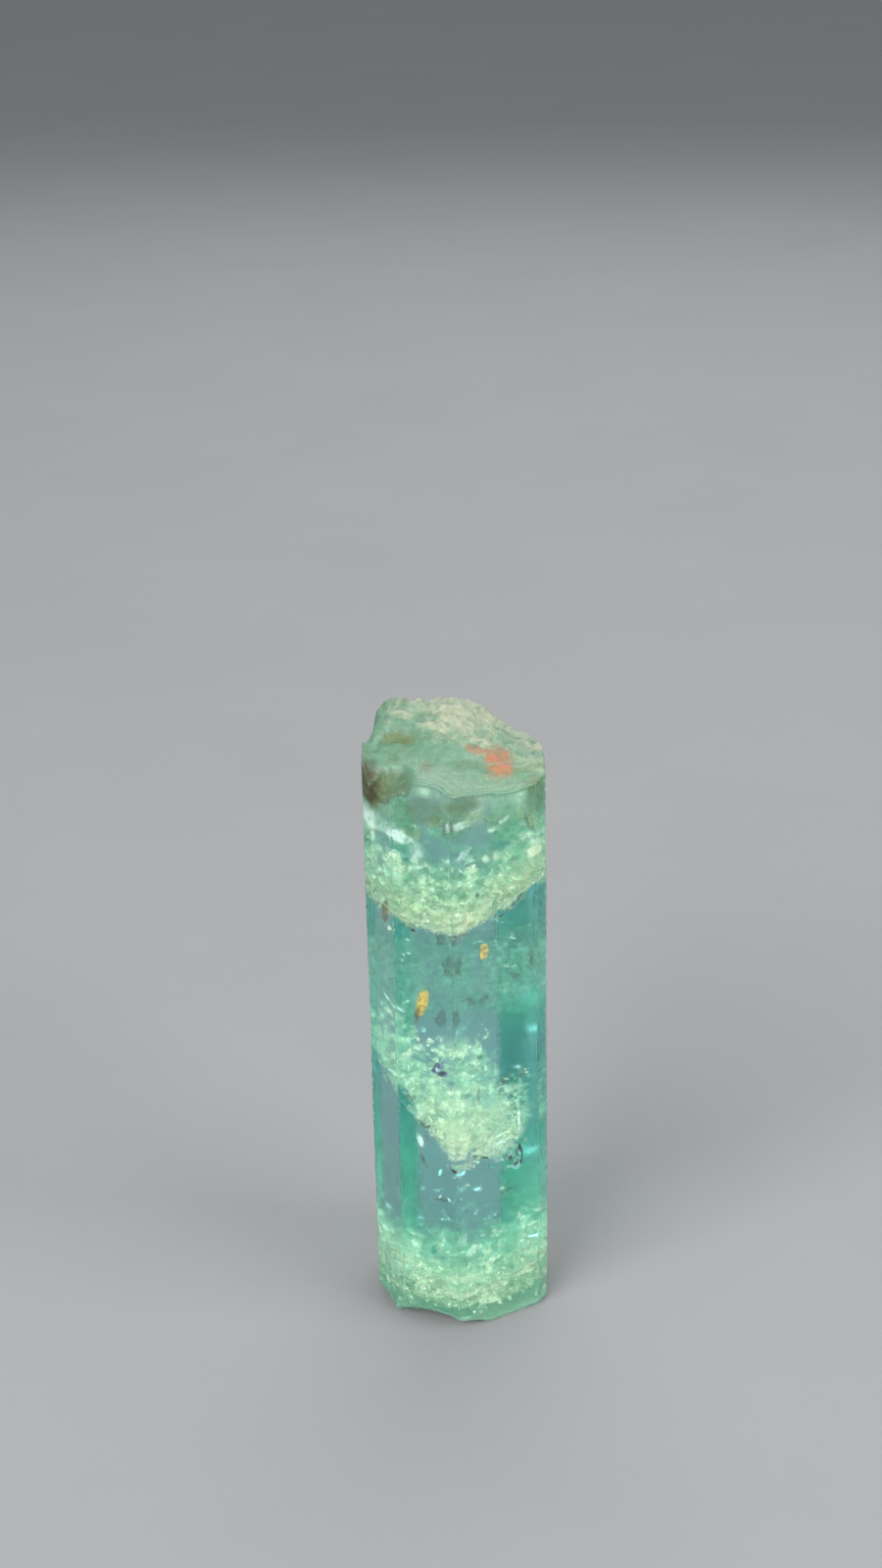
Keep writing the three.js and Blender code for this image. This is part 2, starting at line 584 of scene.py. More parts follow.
@dataclass(frozen=True)
class Veil:
    """A healed fracture: a thin pale sheet of tiny trapped bubbles, broken into patches and lace.

    The sheet's own thickness, from 0 to 1, says how much of it is covered.

    Attributes:
        colour: colour of the dense patches.
        pale: colour of the brightest crackle.
        tan: colour of the iron-stained specks.
        patch: size of the patches, in units a metre.
        crackle: size of the lace's meshes, in units a metre.
        through: share of the light that goes through to the other side.
        stretch: how many times longer the patches are upright than level.
        soft: width of the patches' edges, on the scale of the noise that makes them.
        cover: how much the densest patches hide.
        plain: made of few nodes, for many small sheets.
    """

    colour: Triple = (1.0, 0.90, 0.60)
    pale: Triple = (1.0, 0.97, 0.80)
    tan: Triple = (0.55, 0.42, 0.16)
    patch: float = 1000.0
    crackle: float = 1500.0
    through: float = 0.4
    stretch: float = 1.0
    soft: float = 0.24
    cover: float = 0.85
    plain: bool = False

    def material(self, name: str) -> bpy.types.Material:
        """Builds the material under a name of its own.

        The sheet is covered where broad and middle noise pass a mark, which is lower where the
        sheet is thicker. A lace of cell edges and fine noise shade it, and specks are tan.

        Args:
            name: the material's name.

        Returns:
            The material.
        """
        g = Graph(name)
        if self.plain:
            return self.plain_material(g)
        upright = 1 / self.stretch
        broad = g.grain((self.patch, self.patch, self.patch * upright), 4.0)
        middle = g.grain((2800, 2800, 2800 * upright), 3.0)
        fine = g.grain(5200, 3.0)
        bent = g.node("VectorMath", {"operation": "ADD"}, {0: g.place(), 1: g.swirl(1500.0, 0.0003)})
        cells = {"Vector": bent, "Scale": self.crackle}
        lace = 1 - g.between(g.node("TexVoronoi", {"feature": "DISTANCE_TO_EDGE"}, cells), 0.02, 0.22)
        wanted = 0.68 - g.attribute("thickness") * 0.40
        uneven = broad * 0.55 + middle * 0.45 + (fine - 0.5) * 0.3
        patches = g.between(uneven - wanted, 0.0, self.soft)
        alpha = patches * (lace * 0.3 + fine * 0.3 + 0.65) * self.cover
        tone = g.tint(g.between(fine + lace * 0.15, 0.42, 0.66), self.colour, self.pale)
        specks = g.between(g.grain(2100, 4.0, 0.7), 0.64, 0.74) * 0.5
        colour = g.tint(specks, tone, self.tan)
        normal = g.bump(fine * 0.5 + lace * 0.5, 0.5, 0.0001)
        return self.sheer(g, colour, alpha, {"Roughness": 0.4, "Normal": normal})

    def plain_material(self, g: Graph) -> bpy.types.Material:
        """The same in few nodes, for many small sheets: one noise breaks them up and shades them.

        Args:
            g: the material's nodes.

        Returns:
            The material.
        """
        grain = g.grain(self.patch, 3.0, 0.7)
        broken = g.between(grain, 0.5 - self.soft, 0.5 + self.soft) * 0.8 + 0.2
        alpha = g.attribute("thickness") * broken * self.cover
        colour = g.tint(g.between(grain, 0.45, 0.65), self.colour, self.pale)
        return self.sheer(g, colour, alpha, {"Roughness": 0.5})

    def sheer(self, g: Graph, colour: Value, alpha: Value, look: dict[str, object]) -> bpy.types.Material:
        """Mixes matt, lit-through and bare parts.

        Args:
            g: the material's nodes.
            colour: colour of the covered parts.
            alpha: how much is covered.
            look: what else the matt shader is given.

        Returns:
            The material.
        """
        matt = g.principled({"Base Color": colour, "Specular IOR Level": 0.25, **look})
        lit = g.node("BsdfTranslucent", {}, {"Color": colour})
        clear = g.node("BsdfTransparent", {}, {})
        return g.finish(g.mixed(alpha.clipped(), clear, g.mixed(self.through, matt, lit)))


@dataclass(frozen=True)
class Earth:
    """An earthy, matt grain sealed in the crystal: iron stain or dark mica.

    Attributes:
        light: its lighter colour.
        dark: its darker colour.
        roughness: how matt it is.
        metallic: how metallic it is.
        scale: size of its mottling, in units a metre.
    """

    light: Triple
    dark: Triple
    roughness: float = 0.7
    metallic: float = 0.0
    scale: float = 2500.0

    def material(self, name: str) -> bpy.types.Material:
        """Builds the material: two colours that noise mottles, with a bump from the same noise.

        Args:
            name: the material's name.

        Returns:
            The material.
        """
        g = Graph(name)
        mottle = g.grain(self.scale, 4.0)
        colour = g.tint(g.between(mottle, 0.35, 0.65), self.dark, self.light)
        inputs = {
            "Base Color": colour,
            "Roughness": self.roughness,
            "Metallic": self.metallic,
            "Normal": g.bump(mottle, 0.6, 0.0001),
        }
        return g.finish(g.principled(inputs))


# ---------------------------------------------------------------- the crystal's form


@dataclass(frozen=True)
class PrismFace:
    """One long face of the prism.

    Attributes:
        bearing: compass bearing of its outward normal from +X, anticlockwise, in degrees.
        reach: its distance from the axis, as a fraction of the half width.
        strips: columns of the mesh across it.
    """

    bearing: float
    reach: float
    strips: int


@dataclass(frozen=True)
class Mound:
    """A swell or hollow: its centre, spread and rise in millimetres, and its depth for its width."""

    x: float
    y: float
    spread: float
    rise: float
    squash: float = 1.0


@dataclass(frozen=True)
class Chip:
    """A shallow bowl broken from a corner: its centre, radius and depth in millimetres."""

    x: float
    y: float
    radius: float
    depth: float


class StainKind(Enum):
    """The mesh attribute that holds a stain's colour share."""

    RUST = "rust"
    UMBER = "umber"
    # olive: partly a real coat, partly painted shade under the rim
    OLIVE = "olive"


@dataclass(frozen=True)
class Stain:
    """A stain on the skin: its kind, centre, half sizes in millimetres, and how much it covers."""

    kind: StainKind
    centre: Triple
    size: Triple
    cover: float

    def mask(self, points: Array, grain: Array) -> Array:
        """Share of the stain at each point, from 1 inside its ellipsoid to 0 outside."""
        out = np.linalg.norm((points - np.array(self.centre)) / np.array(self.size), axis=-1)
        return 1 - smooth(0.5, 1.2, out + 0.35 * grain)


@dataclass
class CrystalForm:
    """The crystal's outer shape.

    Attributes:
        half_width: axis to each side face.
        height: summit above the foot.
        side_top: mean height of the rim where the prism faces end.
        faces: the long faces, anticlockwise from +X.
        shoulder: rise of the step at the left of the top.
        terrace: height of the top's steps.
        crests: features in a millimetre, height and seed of each layer of ridges on the top.
        grit: height of the finest roughness on the top.
        rib: height of the ribs on the walls of the front chip.
        ledge: height of the low ledge that crosses the front of the top.
        rim_round: radius of the rounded rim.
        foot_round: radius of the rounded edge of the foot.
        foot_lift: gap left under the foot.
        growth_step: height of a growth step on the long faces.
        growth_line: half depth of the fine lines along them.
        wear: how far the edges between them are taken back all along.
        nibble: greatest depth of the nibbles in those edges.
        nibble_width: distance from an edge over which both die away.
        frost_width: the same for the frosting beside an edge.
        crowding: power that crowds the rings of the top and the foot towards their rims.
        swells: broad shape of the top.
        top_chips: breaks round the rim.
        foot_chips: breaks round the foot.
        stains: iron stains on the skin.
        side_rows: rings of the mesh along the faces.
        top_rows: rings across the top.
        foot_rows: rings across the foot.
    """

    half_width: float
    height: float
    side_top: float = 33.7
    faces: tuple[PrismFace, ...] = (
        PrismFace(0, 1.0, 26),
        PrismFace(30, 1.09, 8),
        PrismFace(60, 0.99, 28),
        PrismFace(120, 1.01, 28),
        PrismFace(150, 1.06, 10),
        PrismFace(180, 1.0, 20),
        PrismFace(210, 0.998, 16),
        PrismFace(240, 1.03, 30),
        PrismFace(300, 0.97, 30),
        PrismFace(330, 1.08, 8),
    )
    shoulder: float = 0.75
    terrace: float = 0.34
    crests: tuple[tuple[float, float, int], ...] = ((0.9, 0.26, 31), (2.2, 0.09, 37))
    grit: float = 0.035
    rib: float = 0.02
    ledge: float = 0.22
    rim_round: float = 0.16
    foot_round: float = 0.12
    foot_lift: float = 0.03
    growth_step: float = 0.008
    growth_line: float = 0.0015
    wear: float = 0.035
    nibble: float = 0.11
    nibble_width: float = 0.11
    frost_width: float = 0.07
    crowding: float = 1.35
    swells: tuple[Mound, ...] = (
        Mound(-0.9, 3.1, 2.8, 1.85),
        Mound(1.6, 3.6, 1.2, 0.2),
        Mound(-1.2, -4.6, 1.5, 0.45),
        Mound(4.3, 2.6, 1.7, -0.75),
        Mound(2.6, -3.4, 1.8, -0.35),
        Mound(-2.9, 0.4, 0.9, -0.3, 0.4),
        Mound(-2.8, 1.0, 1.1, 0.15, 0.3),
        Mound(0.1, 2.3, 0.6, -0.35, 0.35),
        Mound(-1.5, -1.6, 0.4, -0.3, 1.4),
    )
    top_chips: tuple[Chip, ...] = (
        Chip(-4.2, -3.6, 2.2, 1.5),
        Chip(-5.3, 2.4, 1.3, 1.1),
        Chip(3.0, 4.2, 0.9, 0.35),
    )
    foot_chips: tuple[Chip, ...] = (
        Chip(-2.0, -6.2, 3.6, 1.3),
        Chip(-5.6, -1.6, 2.2, 0.8),
        Chip(5.2, 3.4, 1.4, 0.6),
    )
    stains: tuple[Stain, ...] = (
        Stain(StainKind.RUST, (2.5, -1.35, 33.8), (0.95, 1.6, 1.3), 0.98),
        Stain(StainKind.RUST, (1.2, -0.6, 34.0), (0.9, 0.5, 0.7), 0.5),
        Stain(StainKind.UMBER, (-4.75, -1.9, 32.9), (0.95, 1.9, 1.6), 0.98),
        # The olive stains at -5.4, -5.0 and -3.0 towards -Y lie on the front faces under the rim: partly an
        # olive coat, partly painted shade of the rim's underside. The one at (-2.95, 0.45) makes the small
        # hollow on the top dark olive.
        Stain(StainKind.OLIVE, (-3.95, -2.4, 32.6), (0.8, 1.2, 1.3), 0.9),
        Stain(StainKind.OLIVE, (-2.95, 0.45, 34.4), (1.2, 0.4, 1.2), 0.9),
        Stain(StainKind.OLIVE, (0.7, -5.4, 32.9), (2.0, 1.0, 0.7), 0.45),
        Stain(StainKind.OLIVE, (-1.3, -5.0, 32.6), (2.0, 1.2, 0.9), 0.4),
        Stain(StainKind.OLIVE, (4.4, -3.0, 32.6), (0.9, 1.4, 1.2), 0.55),
        Stain(StainKind.OLIVE, (-1.45, -2.4, 34.1), (0.4, 1.0, 0.5), 0.6),
    )
    side_rows: int = 150
    top_rows: int = 56
    foot_rows: int = 20

    def normals(self) -> tuple[Array, Array]:
        """Outward normals of the faces in plan, and their distances from the axis."""
        reach = np.array([f.reach for f in self.faces]) * self.half_width
        return headings(np.radians([f.bearing for f in self.faces])), reach

    def outline(self) -> tuple[Array, Array]:
        """The section in plan.

        Neighbouring faces meet where the lines n1.p = r1 and n2.p = r2 cross, and the points of
        a face lie evenly between its two corners.

        Returns:
            The points, shape (columns, 2), and each one's distance from the nearest corner.
        """
        n, r = self.normals()
        m, s = np.roll(n, -1, axis=0), np.roll(r, -1)
        turn = n[:, 0] * m[:, 1] - n[:, 1] * m[:, 0]
        corner = np.stack([r * m[:, 1] - s * n[:, 1], s * n[:, 0] - r * m[:, 0]], -1) / turn[:, None]
        points, gaps = [], []
        for start, end, face in zip(np.roll(corner, 1, axis=0), corner, self.faces):
            t = np.arange(face.strips) / face.strips
            points.append(start + (end - start) * t[:, None])
            gaps.append(np.minimum(t, 1 - t) * np.linalg.norm(end - start))
        return np.concatenate(points), np.concatenate(gaps)

    def room(self, centre: Array, bearing: Array, margin: float) -> Array:
        """How far one can go in plan from a place and stay inside the faces.

        Along a bearing, each face is as far as the room left to it over the share of the way
        that leads towards it, and the nearest one counts.

        Args:
            centre: the place, shape (2,).
            bearing: ways to go, in radians.
            margin: gap kept to the faces.

        Returns:
            The distance along each bearing.
        """
        n, r = self.normals()
        speed = headings(bearing) @ n.T
        left = r - margin - n @ centre
        return np.where(speed > 1e-6, left / np.maximum(speed, 1e-6), np.inf).min(axis=-1)

    @staticmethod
    def chip_depth(chips: Sequence[Chip], x: Array, y: Array) -> Array:
        """Depth of the deepest chip at each place: its depth times a power of how far in it lies.

        Args:
            chips: the chips.
            x: places in plan, towards +X.
            y: places in plan, towards +Y.

        Returns:
            The depths.
        """
        depth = np.zeros_like(x)
        for chip in chips:
            inward = 1 - np.hypot(x - chip.x, y - chip.y) / chip.radius
            depth = np.maximum(depth, chip.depth * np.clip(inward, 0, 1) ** 0.7)
        return depth

    def swell(self, x: Array, y: Array) -> Array:
        """The top's broad shape: the rim's height, a steep shoulder towards -X, and round swells.

        A swell is its rise times a bell curve of the distance from its centre.

        Args:
            x: places in plan, towards +X.
            y: places in plan, towards +Y.

        Returns:
            The heights.
        """
        step = smooth(-4.55, -4.05, x + 0.15 * np.sin(2.1 * y)) * (1 - smooth(-3.6, -1.6, x))
        total = self.side_top + self.shoulder * step * smooth(-0.6, 1.3, y)
        for m in self.swells:
            away = (x - m.x) ** 2 + ((y - m.y) / m.squash) ** 2
            total += m.rise * np.exp(-0.5 * away / m.spread**2)
        return total

    def inset(self, x: Array, y: Array) -> Array:
        """Distance in plan from each place to the nearest face."""
        n, r = self.normals()
        return (r - np.stack([x, y], axis=-1) @ n.T).min(axis=-1)

    def rounding(self, x: Array, y: Array, radius: float) -> Array:
        """How far a quarter round of that radius takes the edge back, close to the faces."""
        out = 1 - np.clip(self.inset(x, y) / radius, 0, 1)
        return radius * (1 - np.sqrt(1 - 0.98 * out**2))

    def past_ledge(self, x: Array, y: Array) -> Array:
        """Distance in plan behind the low ledge that crosses the front of the top."""
        return y + 2.1 - 0.12 * x + 0.18 * noise(flattened(x * 0.9, 0 * x), 27)

    def apron(self, x: Array, y: Array) -> Array:
        """1 on the smooth slope in front of the dome, dying away behind it and in the front chip.

        Args:
            x: places in plan, towards +X.
            y: places in plan, towards +Y.

        Returns:
            The share at each place.
        """
        flat = flattened(x, y)
        slope = smooth(0.2, -1.8, y + 0.5 * layered(flat * 0.9, 29, 3) + 0.35 * np.abs(x - 0.8) - 0.5)
        return slope * (1 - smooth(0.0, 0.3, self.chip_depth(self.top_chips[:1], x, y)))

    def ripples(self, x: Array, y: Array) -> Array:
        """Curved ribs on the walls of the front chip: a sine of the distance from its centre.

        Args:
            x: places in plan, towards +X.
            y: places in plan, towards +Y.

        Returns:
            The ribs, from -1 to 1.
        """
        chip = self.top_chips[0]
        flat = flattened(x, y)
        out = np.hypot(x - chip.x, y - chip.y) + 0.3 * layered(flat * 1.2, 33, 3)
        return np.sin(9.0 * out) * smooth(0.0, 0.5, self.chip_depth((chip,), x, y))

    def top(self, x: Array, y: Array) -> Array:
        """Height of the rough top: the swells, less chips, with terraces, pits and grain.

        A terrace rounds the height down towards whole steps, by a share that noise varies. Pits
        are cut where ridged noise is low. The apron is smoother, and a low ledge crosses it. The
        rim is rounded off.

        Args:
            x: places in plan, towards +X.
            y: places in plan, towards +Y.

        Returns:
            The heights.
        """
        flat = flattened(x, y)
        rough = 1 - 0.75 * self.apron(x, y)
        z = self.swell(x, y) + 0.22 * layered(flat * 0.55, 11, 3)
        bent = 0.6 * layered(flat * 1.1, 5, 4)
        z = z - self.chip_depth(self.top_chips, x + bent, y - bent)
        share = 0.6 * smooth(-0.2, 0.35, noise(flat * 0.5, 21)) * rough
        whole = z / self.terrace + 0.8 * noise(flat * 1.1, 23)
        part = whole - np.floor(whole)
        z = z + share * self.terrace * (smooth(0.2, 0.8, part) - part)
        z = z + sum(high * (ridges(flat * dense, seed) - 0.6) for dense, high, seed in self.crests) * rough
        z = z + self.grit * layered(flat * 5.0, 41, 3) * rough + self.rib * self.ripples(x, y)
        behind = smooth(-0.14, 0.14, self.past_ledge(x, y)) - 0.5
        z = z + self.ledge * behind * smooth(-1.2, 0.2, x)
        return np.clip(z - self.rounding(x, y, self.rim_round), 0, self.height)

    def foot(self, x: Array, y: Array) -> Array:
        """Height of the foot: flat, just above 0, with chipped corners and a few shallow pits.

        Args:
            x: places in plan, towards +X.
            y: places in plan, towards +Y.

        Returns:
            The heights.
        """
        flat = flattened(x, y)
        wobble = 0.25 * layered(flat * 1.1, 51, 3)
        chips = self.chip_depth(self.foot_chips, x + wobble, y - wobble)
        rough = np.where(chips > 0, 0.12 * layered(flat * 2.5, 53, 3), 0)
        pits = 0.1 * smooth(0.25, 0.7, layered(flat * 1.4, 57, 3))
        return np.maximum(chips + rough, 0) + pits + self.rounding(x, y, self.foot_round) + self.foot_lift

    def side_relief(self, points: Array, gap: Array) -> Array:
        """How far the faces lie inside their planes: growth steps, fine lines and nibbled edges.

        Steps round low noise, stretched along the axis, to whole plateaus. Lines are noise that
        hardly changes along the axis. Nibbles die away from the nearest edge as a bell curve.

        Args:
            points: places on the faces.
            gap: distance of each from the nearest edge.

        Returns:
            Distance inwards, in millimetres.
        """
        slow = layered(points * np.array([0.35, 0.35, 0.16]), 61, 3)
        plateau = 5 * (slow + 0.5)
        stepped = np.floor(plateau) + smooth(0.35, 0.65, plateau - np.floor(plateau))
        fine = noise(points * np.array([5.0, 5.0, 0.22]), 71)
        edge = np.exp(-((gap / self.nibble_width) ** 2))
        ragged = layered(points * np.array([0.9, 0.9, 1.7]), 81, 4)
        bite = self.wear + self.nibble * smooth(0.1, 0.75, ragged)
        return self.growth_step * stepped.clip(0, 5) + self.growth_line * (fine + 1) + edge * bite

    def skin(self) -> Shell:
        """The whole outer surface, from the middle of the foot over the faces to the summit.

        Rings follow a profile. Each ring is the section scaled by the profile's fraction, at a
        height between the foot and the top. On the sides it is also drawn in by the relief.

        Returns:
            The closed shell, with the values that its finish reads.
        """
        plan, gap = self.outline()
        foot_f = 1 - np.linspace(1, 0, self.foot_rows + 1)[1:] ** self.crowding
        side_t = np.linspace(0, 1, self.side_rows + 1)[1:-1]
        top_f = 1 - np.linspace(0, 1, self.top_rows + 1)[:-1] ** self.crowding
        fraction = np.concatenate([foot_f, np.ones_like(side_t), top_f])
        level = np.concatenate([np.zeros_like(foot_f), side_t, np.ones_like(top_f)])
        rows, columns = len(fraction), len(plan)
        x = fraction[:, None] * plan[None, :, 0]
        y = fraction[:, None] * plan[None, :, 1]
        low, high = self.foot(x, y), self.top(x, y)
        z = low + (high - low) * level[:, None]
        points = np.stack([x, y, z], axis=-1)
        relief = self.side_relief(points, np.broadcast_to(gap, x.shape))
        radius = np.maximum(np.hypot(x, y), 1e-6)
        pull = 1 - relief * fraction[:, None] ** 6 / radius
        points[..., 0] *= pull
        points[..., 1] *= pull
        on_top = np.broadcast_to((level > 0.999)[:, None], x.shape).astype(float)
        on_foot = np.broadcast_to((level < 0.001)[:, None], x.shape).astype(float)
        on_side = (level > 0.001) & (level < 0.999)
        worn = np.exp(-((gap / self.frost_width) ** 2)) * on_side[:, None]
        axis = np.zeros((2, 1))
        poles = np.array([[0, 0, self.foot(*axis)[0]], [0, 0, self.top(*axis)[0]]])
        grid = points.reshape(-1, 3)
        count = len(grid)
        values = self.skin_values(grid, on_top.reshape(-1), on_foot.reshape(-1), worn.reshape(-1))
        ends = self.skin_values(poles, np.array([0.0, 1.0]), np.array([1.0, 0.0]), np.zeros(2))
        caps = [fan_faces(count, 0, columns, False), fan_faces(count + 1, count - columns, columns, True)]
        return Shell(
            np.concatenate([grid, poles]),
            ring_faces(rows, columns),
            np.concatenate(caps),
            {k: np.concatenate([values[k], ends[k]]) for k in values},
        )

    def skin_values(self, points: Array, on_top: Array, on_foot: Array, worn: Array) -> dict[str, Array]:
        """What the emerald finish reads at each point, each from 0 to 1.

        A thin olive coat creeps down the faces from the rim: partly real, partly painted shade of the
        rim's underside, and a share of cream lightens it as painted light, since little light falls on
        the upright faces. The dome is palest where it is high and towards +X, and the apron in front of
        it is green and smoother. What lies below the broad shape is darker, and so is the ledge: painted
        shade in the hollows and under the step. Each stain is an ellipsoid round its centre, and noise
        eats into its edge. Worn edges are frosted.

        Args:
            points: places on the skin.
            on_top: 1 on the top.
            on_foot: 1 on the foot.
            worn: 1 on the edges between the long faces, dying away beside them.

        Returns:
            The values of each attribute.
        """
        x, y, z = points.T
        grain = layered(points * 1.1, 91, 4)
        glassy = smooth(0.15, 0.6, self.chip_depth(self.top_chips[:1], x, y)) * on_top
        apron = self.apron(x, y) * on_top
        patchy = 0.55 + 0.45 * smooth(-0.4, 0.3, layered(points * 1.0, 93, 3))
        etched = on_top * (1 - 0.25 * glassy - 0.45 * apron) + 0.9 * on_foot + 0.6 * worn * patchy
        dome = smooth(34.1, 35.4, z + 0.5 * grain + 0.28 * x)
        below = self.swell(x, y) - z
        # painted shade: darker where the top lies below its broad shape, outside the apron
        low = smooth(0.12, 0.45, below - self.rounding(x, y, self.rim_round)) * on_top * (1 - apron)
        # the olive coat down the faces from the rim: partly real, partly painted shade of the rim's
        # underside
        rim_film_and_shade = np.exp(-((below / 1.8) ** 2)) * (1 - on_top) * (0.9 + 0.8 * grain).clip(0, 1)
        crust = on_top * (0.70 + 0.15 * dome + 0.12 * grain + 0.15 * glassy)
        values = {kind.value: np.zeros_like(x) for kind in StainKind}
        for stain in self.stains:
            kind, mask = stain.kind.value, stain.mask(points, grain)
            values[kind] = np.maximum(values[kind], mask)
            crust = np.maximum(crust, stain.cover * mask)
        # painted shade along the low ledge that crosses the front of the top
        line = np.exp(-((self.past_ledge(x, y) / 0.11) ** 2)) * smooth(-0.4, 0.4, x) * on_top
        values["etch"] = np.clip(etched, 0, 1)
        values["pale"] = np.clip(dome * 0.8 + 0.35 * grain - 0.3 * apron + 0.2 * on_foot, 0, 1)
        # share of painted shade, in the low parts of the top and along the ledge
        values["hollow"] = np.clip(low * 0.9 + 0.6 * line, 0, 1)
        under = on_foot * smooth(0.05, 0.4, self.inset(x, y))
        # painted light: a share of cream lightens the olive coat under the rim, since little light falls on
        # the upright faces
        values["cream"] = np.maximum(under, 0.45 * rim_film_and_shade)
        # olive share of the coat under the rim, partly painted shade of its underside
        values["olive"] = np.maximum(values["olive"], 0.6 * rim_film_and_shade * smooth(0.2, -0.4, grain))
        crust = np.maximum(crust, 0.75 * rim_film_and_shade)
        values["crust"] = np.clip(crust + 0.8 * under + 0.12 * worn * patchy + 0.3 * line, 0, 1)
        return values


# ---------------------------------------------------------------- fractures


def lens(middle: Array, centre: Array, half: Array, along: Array) -> Shell:
    """A thin closed lens round a middle surface, with its faces looking out.

    Each point of the middle surface moves by half along the given direction for the roof and by
    as much the other way for the floor. Roof and floor share the outermost ring.

    Args:
        middle: rings of points, from near the centre outwards, anticlockwise, (rings, columns, 3).
        centre: the middle point.
        half: half the thickness at the centre and then at each ring, with 0 at the last.
        along: unit vector across the lens.

    Returns:
        The closed shell.
    """
    rings, columns = middle.shape[:2]
    lift = half[1:, None, None] * along
    roof, floor = middle + lift, (middle - lift)[:-1]
    poles = np.stack([centre + half[0] * along, centre - half[0] * along])
    count, inner = rings * columns, (rings - 1) * columns
    rim = np.arange(columns) + (rings - 1) * columns
    last = count + inner - columns + np.arange(columns)
    seam = np.stack([last, np.roll(last, -1), np.roll(rim, -1), rim], axis=-1)
    quads = [ring_faces(rings, columns)[:, ::-1], ring_faces(rings - 1, columns, count), seam]
    top = fan_faces(count + inner, 0, columns, True)
    bottom = fan_faces(count + inner + 1, count, columns, False)
    points = np.concatenate([roof.reshape(-1, 3), floor.reshape(-1, 3), poles])
    return Shell(points, np.concatenate(quads), np.concatenate([top, bottom]))


def spindles(centres: Array, axis: Array, half: Array, radii: Array, sides: int, seed: int) -> Shell:
    """Many small closed double pyramids at once, each with a ragged rim round its middle.

    Args:
        centres: middle of each, shape (n, 3).
        axis: unit vector from pole to pole of each, shape (n, 3).
        half: middle to pole of each, shape (n,).
        radii: mean half length and half width of each one's rim, shape (n, 2).
        sides: corners of a rim.
        seed: picks the ragged rims.

    Returns:
        The closed shells, as one.
    """
    count = len(centres)
    spare = np.where(np.abs(axis[:, 2:]) > 0.8, np.array([[1.0, 0, 0]]), np.array([[0, 0, 1.0]]))
    a = np.cross(axis, spare)
    a /= np.linalg.norm(a, axis=-1, keepdims=True)
    b = np.cross(axis, a)
    turn = full_turn(sides)
    cell = np.stack(np.meshgrid(np.arange(count), np.arange(sides), [0], indexing="ij"), axis=-1)[:, :, 0]
    wander = 0.35 + 0.85 * lattice(cell, seed)
    u = (np.cos(turn) * wander * radii[:, :1])[..., None]
    v = (np.sin(turn) * wander * radii[:, 1:])[..., None]
    rim = centres[:, None] + u * a[:, None] + v * b[:, None]
    pole = half[:, None, None] * axis[:, None]
    points = np.concatenate([rim, centres[:, None] + pole, centres[:, None] - pole], axis=1)
    start = (np.arange(count) * (sides + 2))[:, None, None]
    faces = np.concatenate([fan_faces(sides, 0, sides, True), fan_faces(sides + 1, 0, sides, False)])
    return Shell(points.reshape(-1, 3), no_faces(4), (start + faces).reshape(-1, 3))


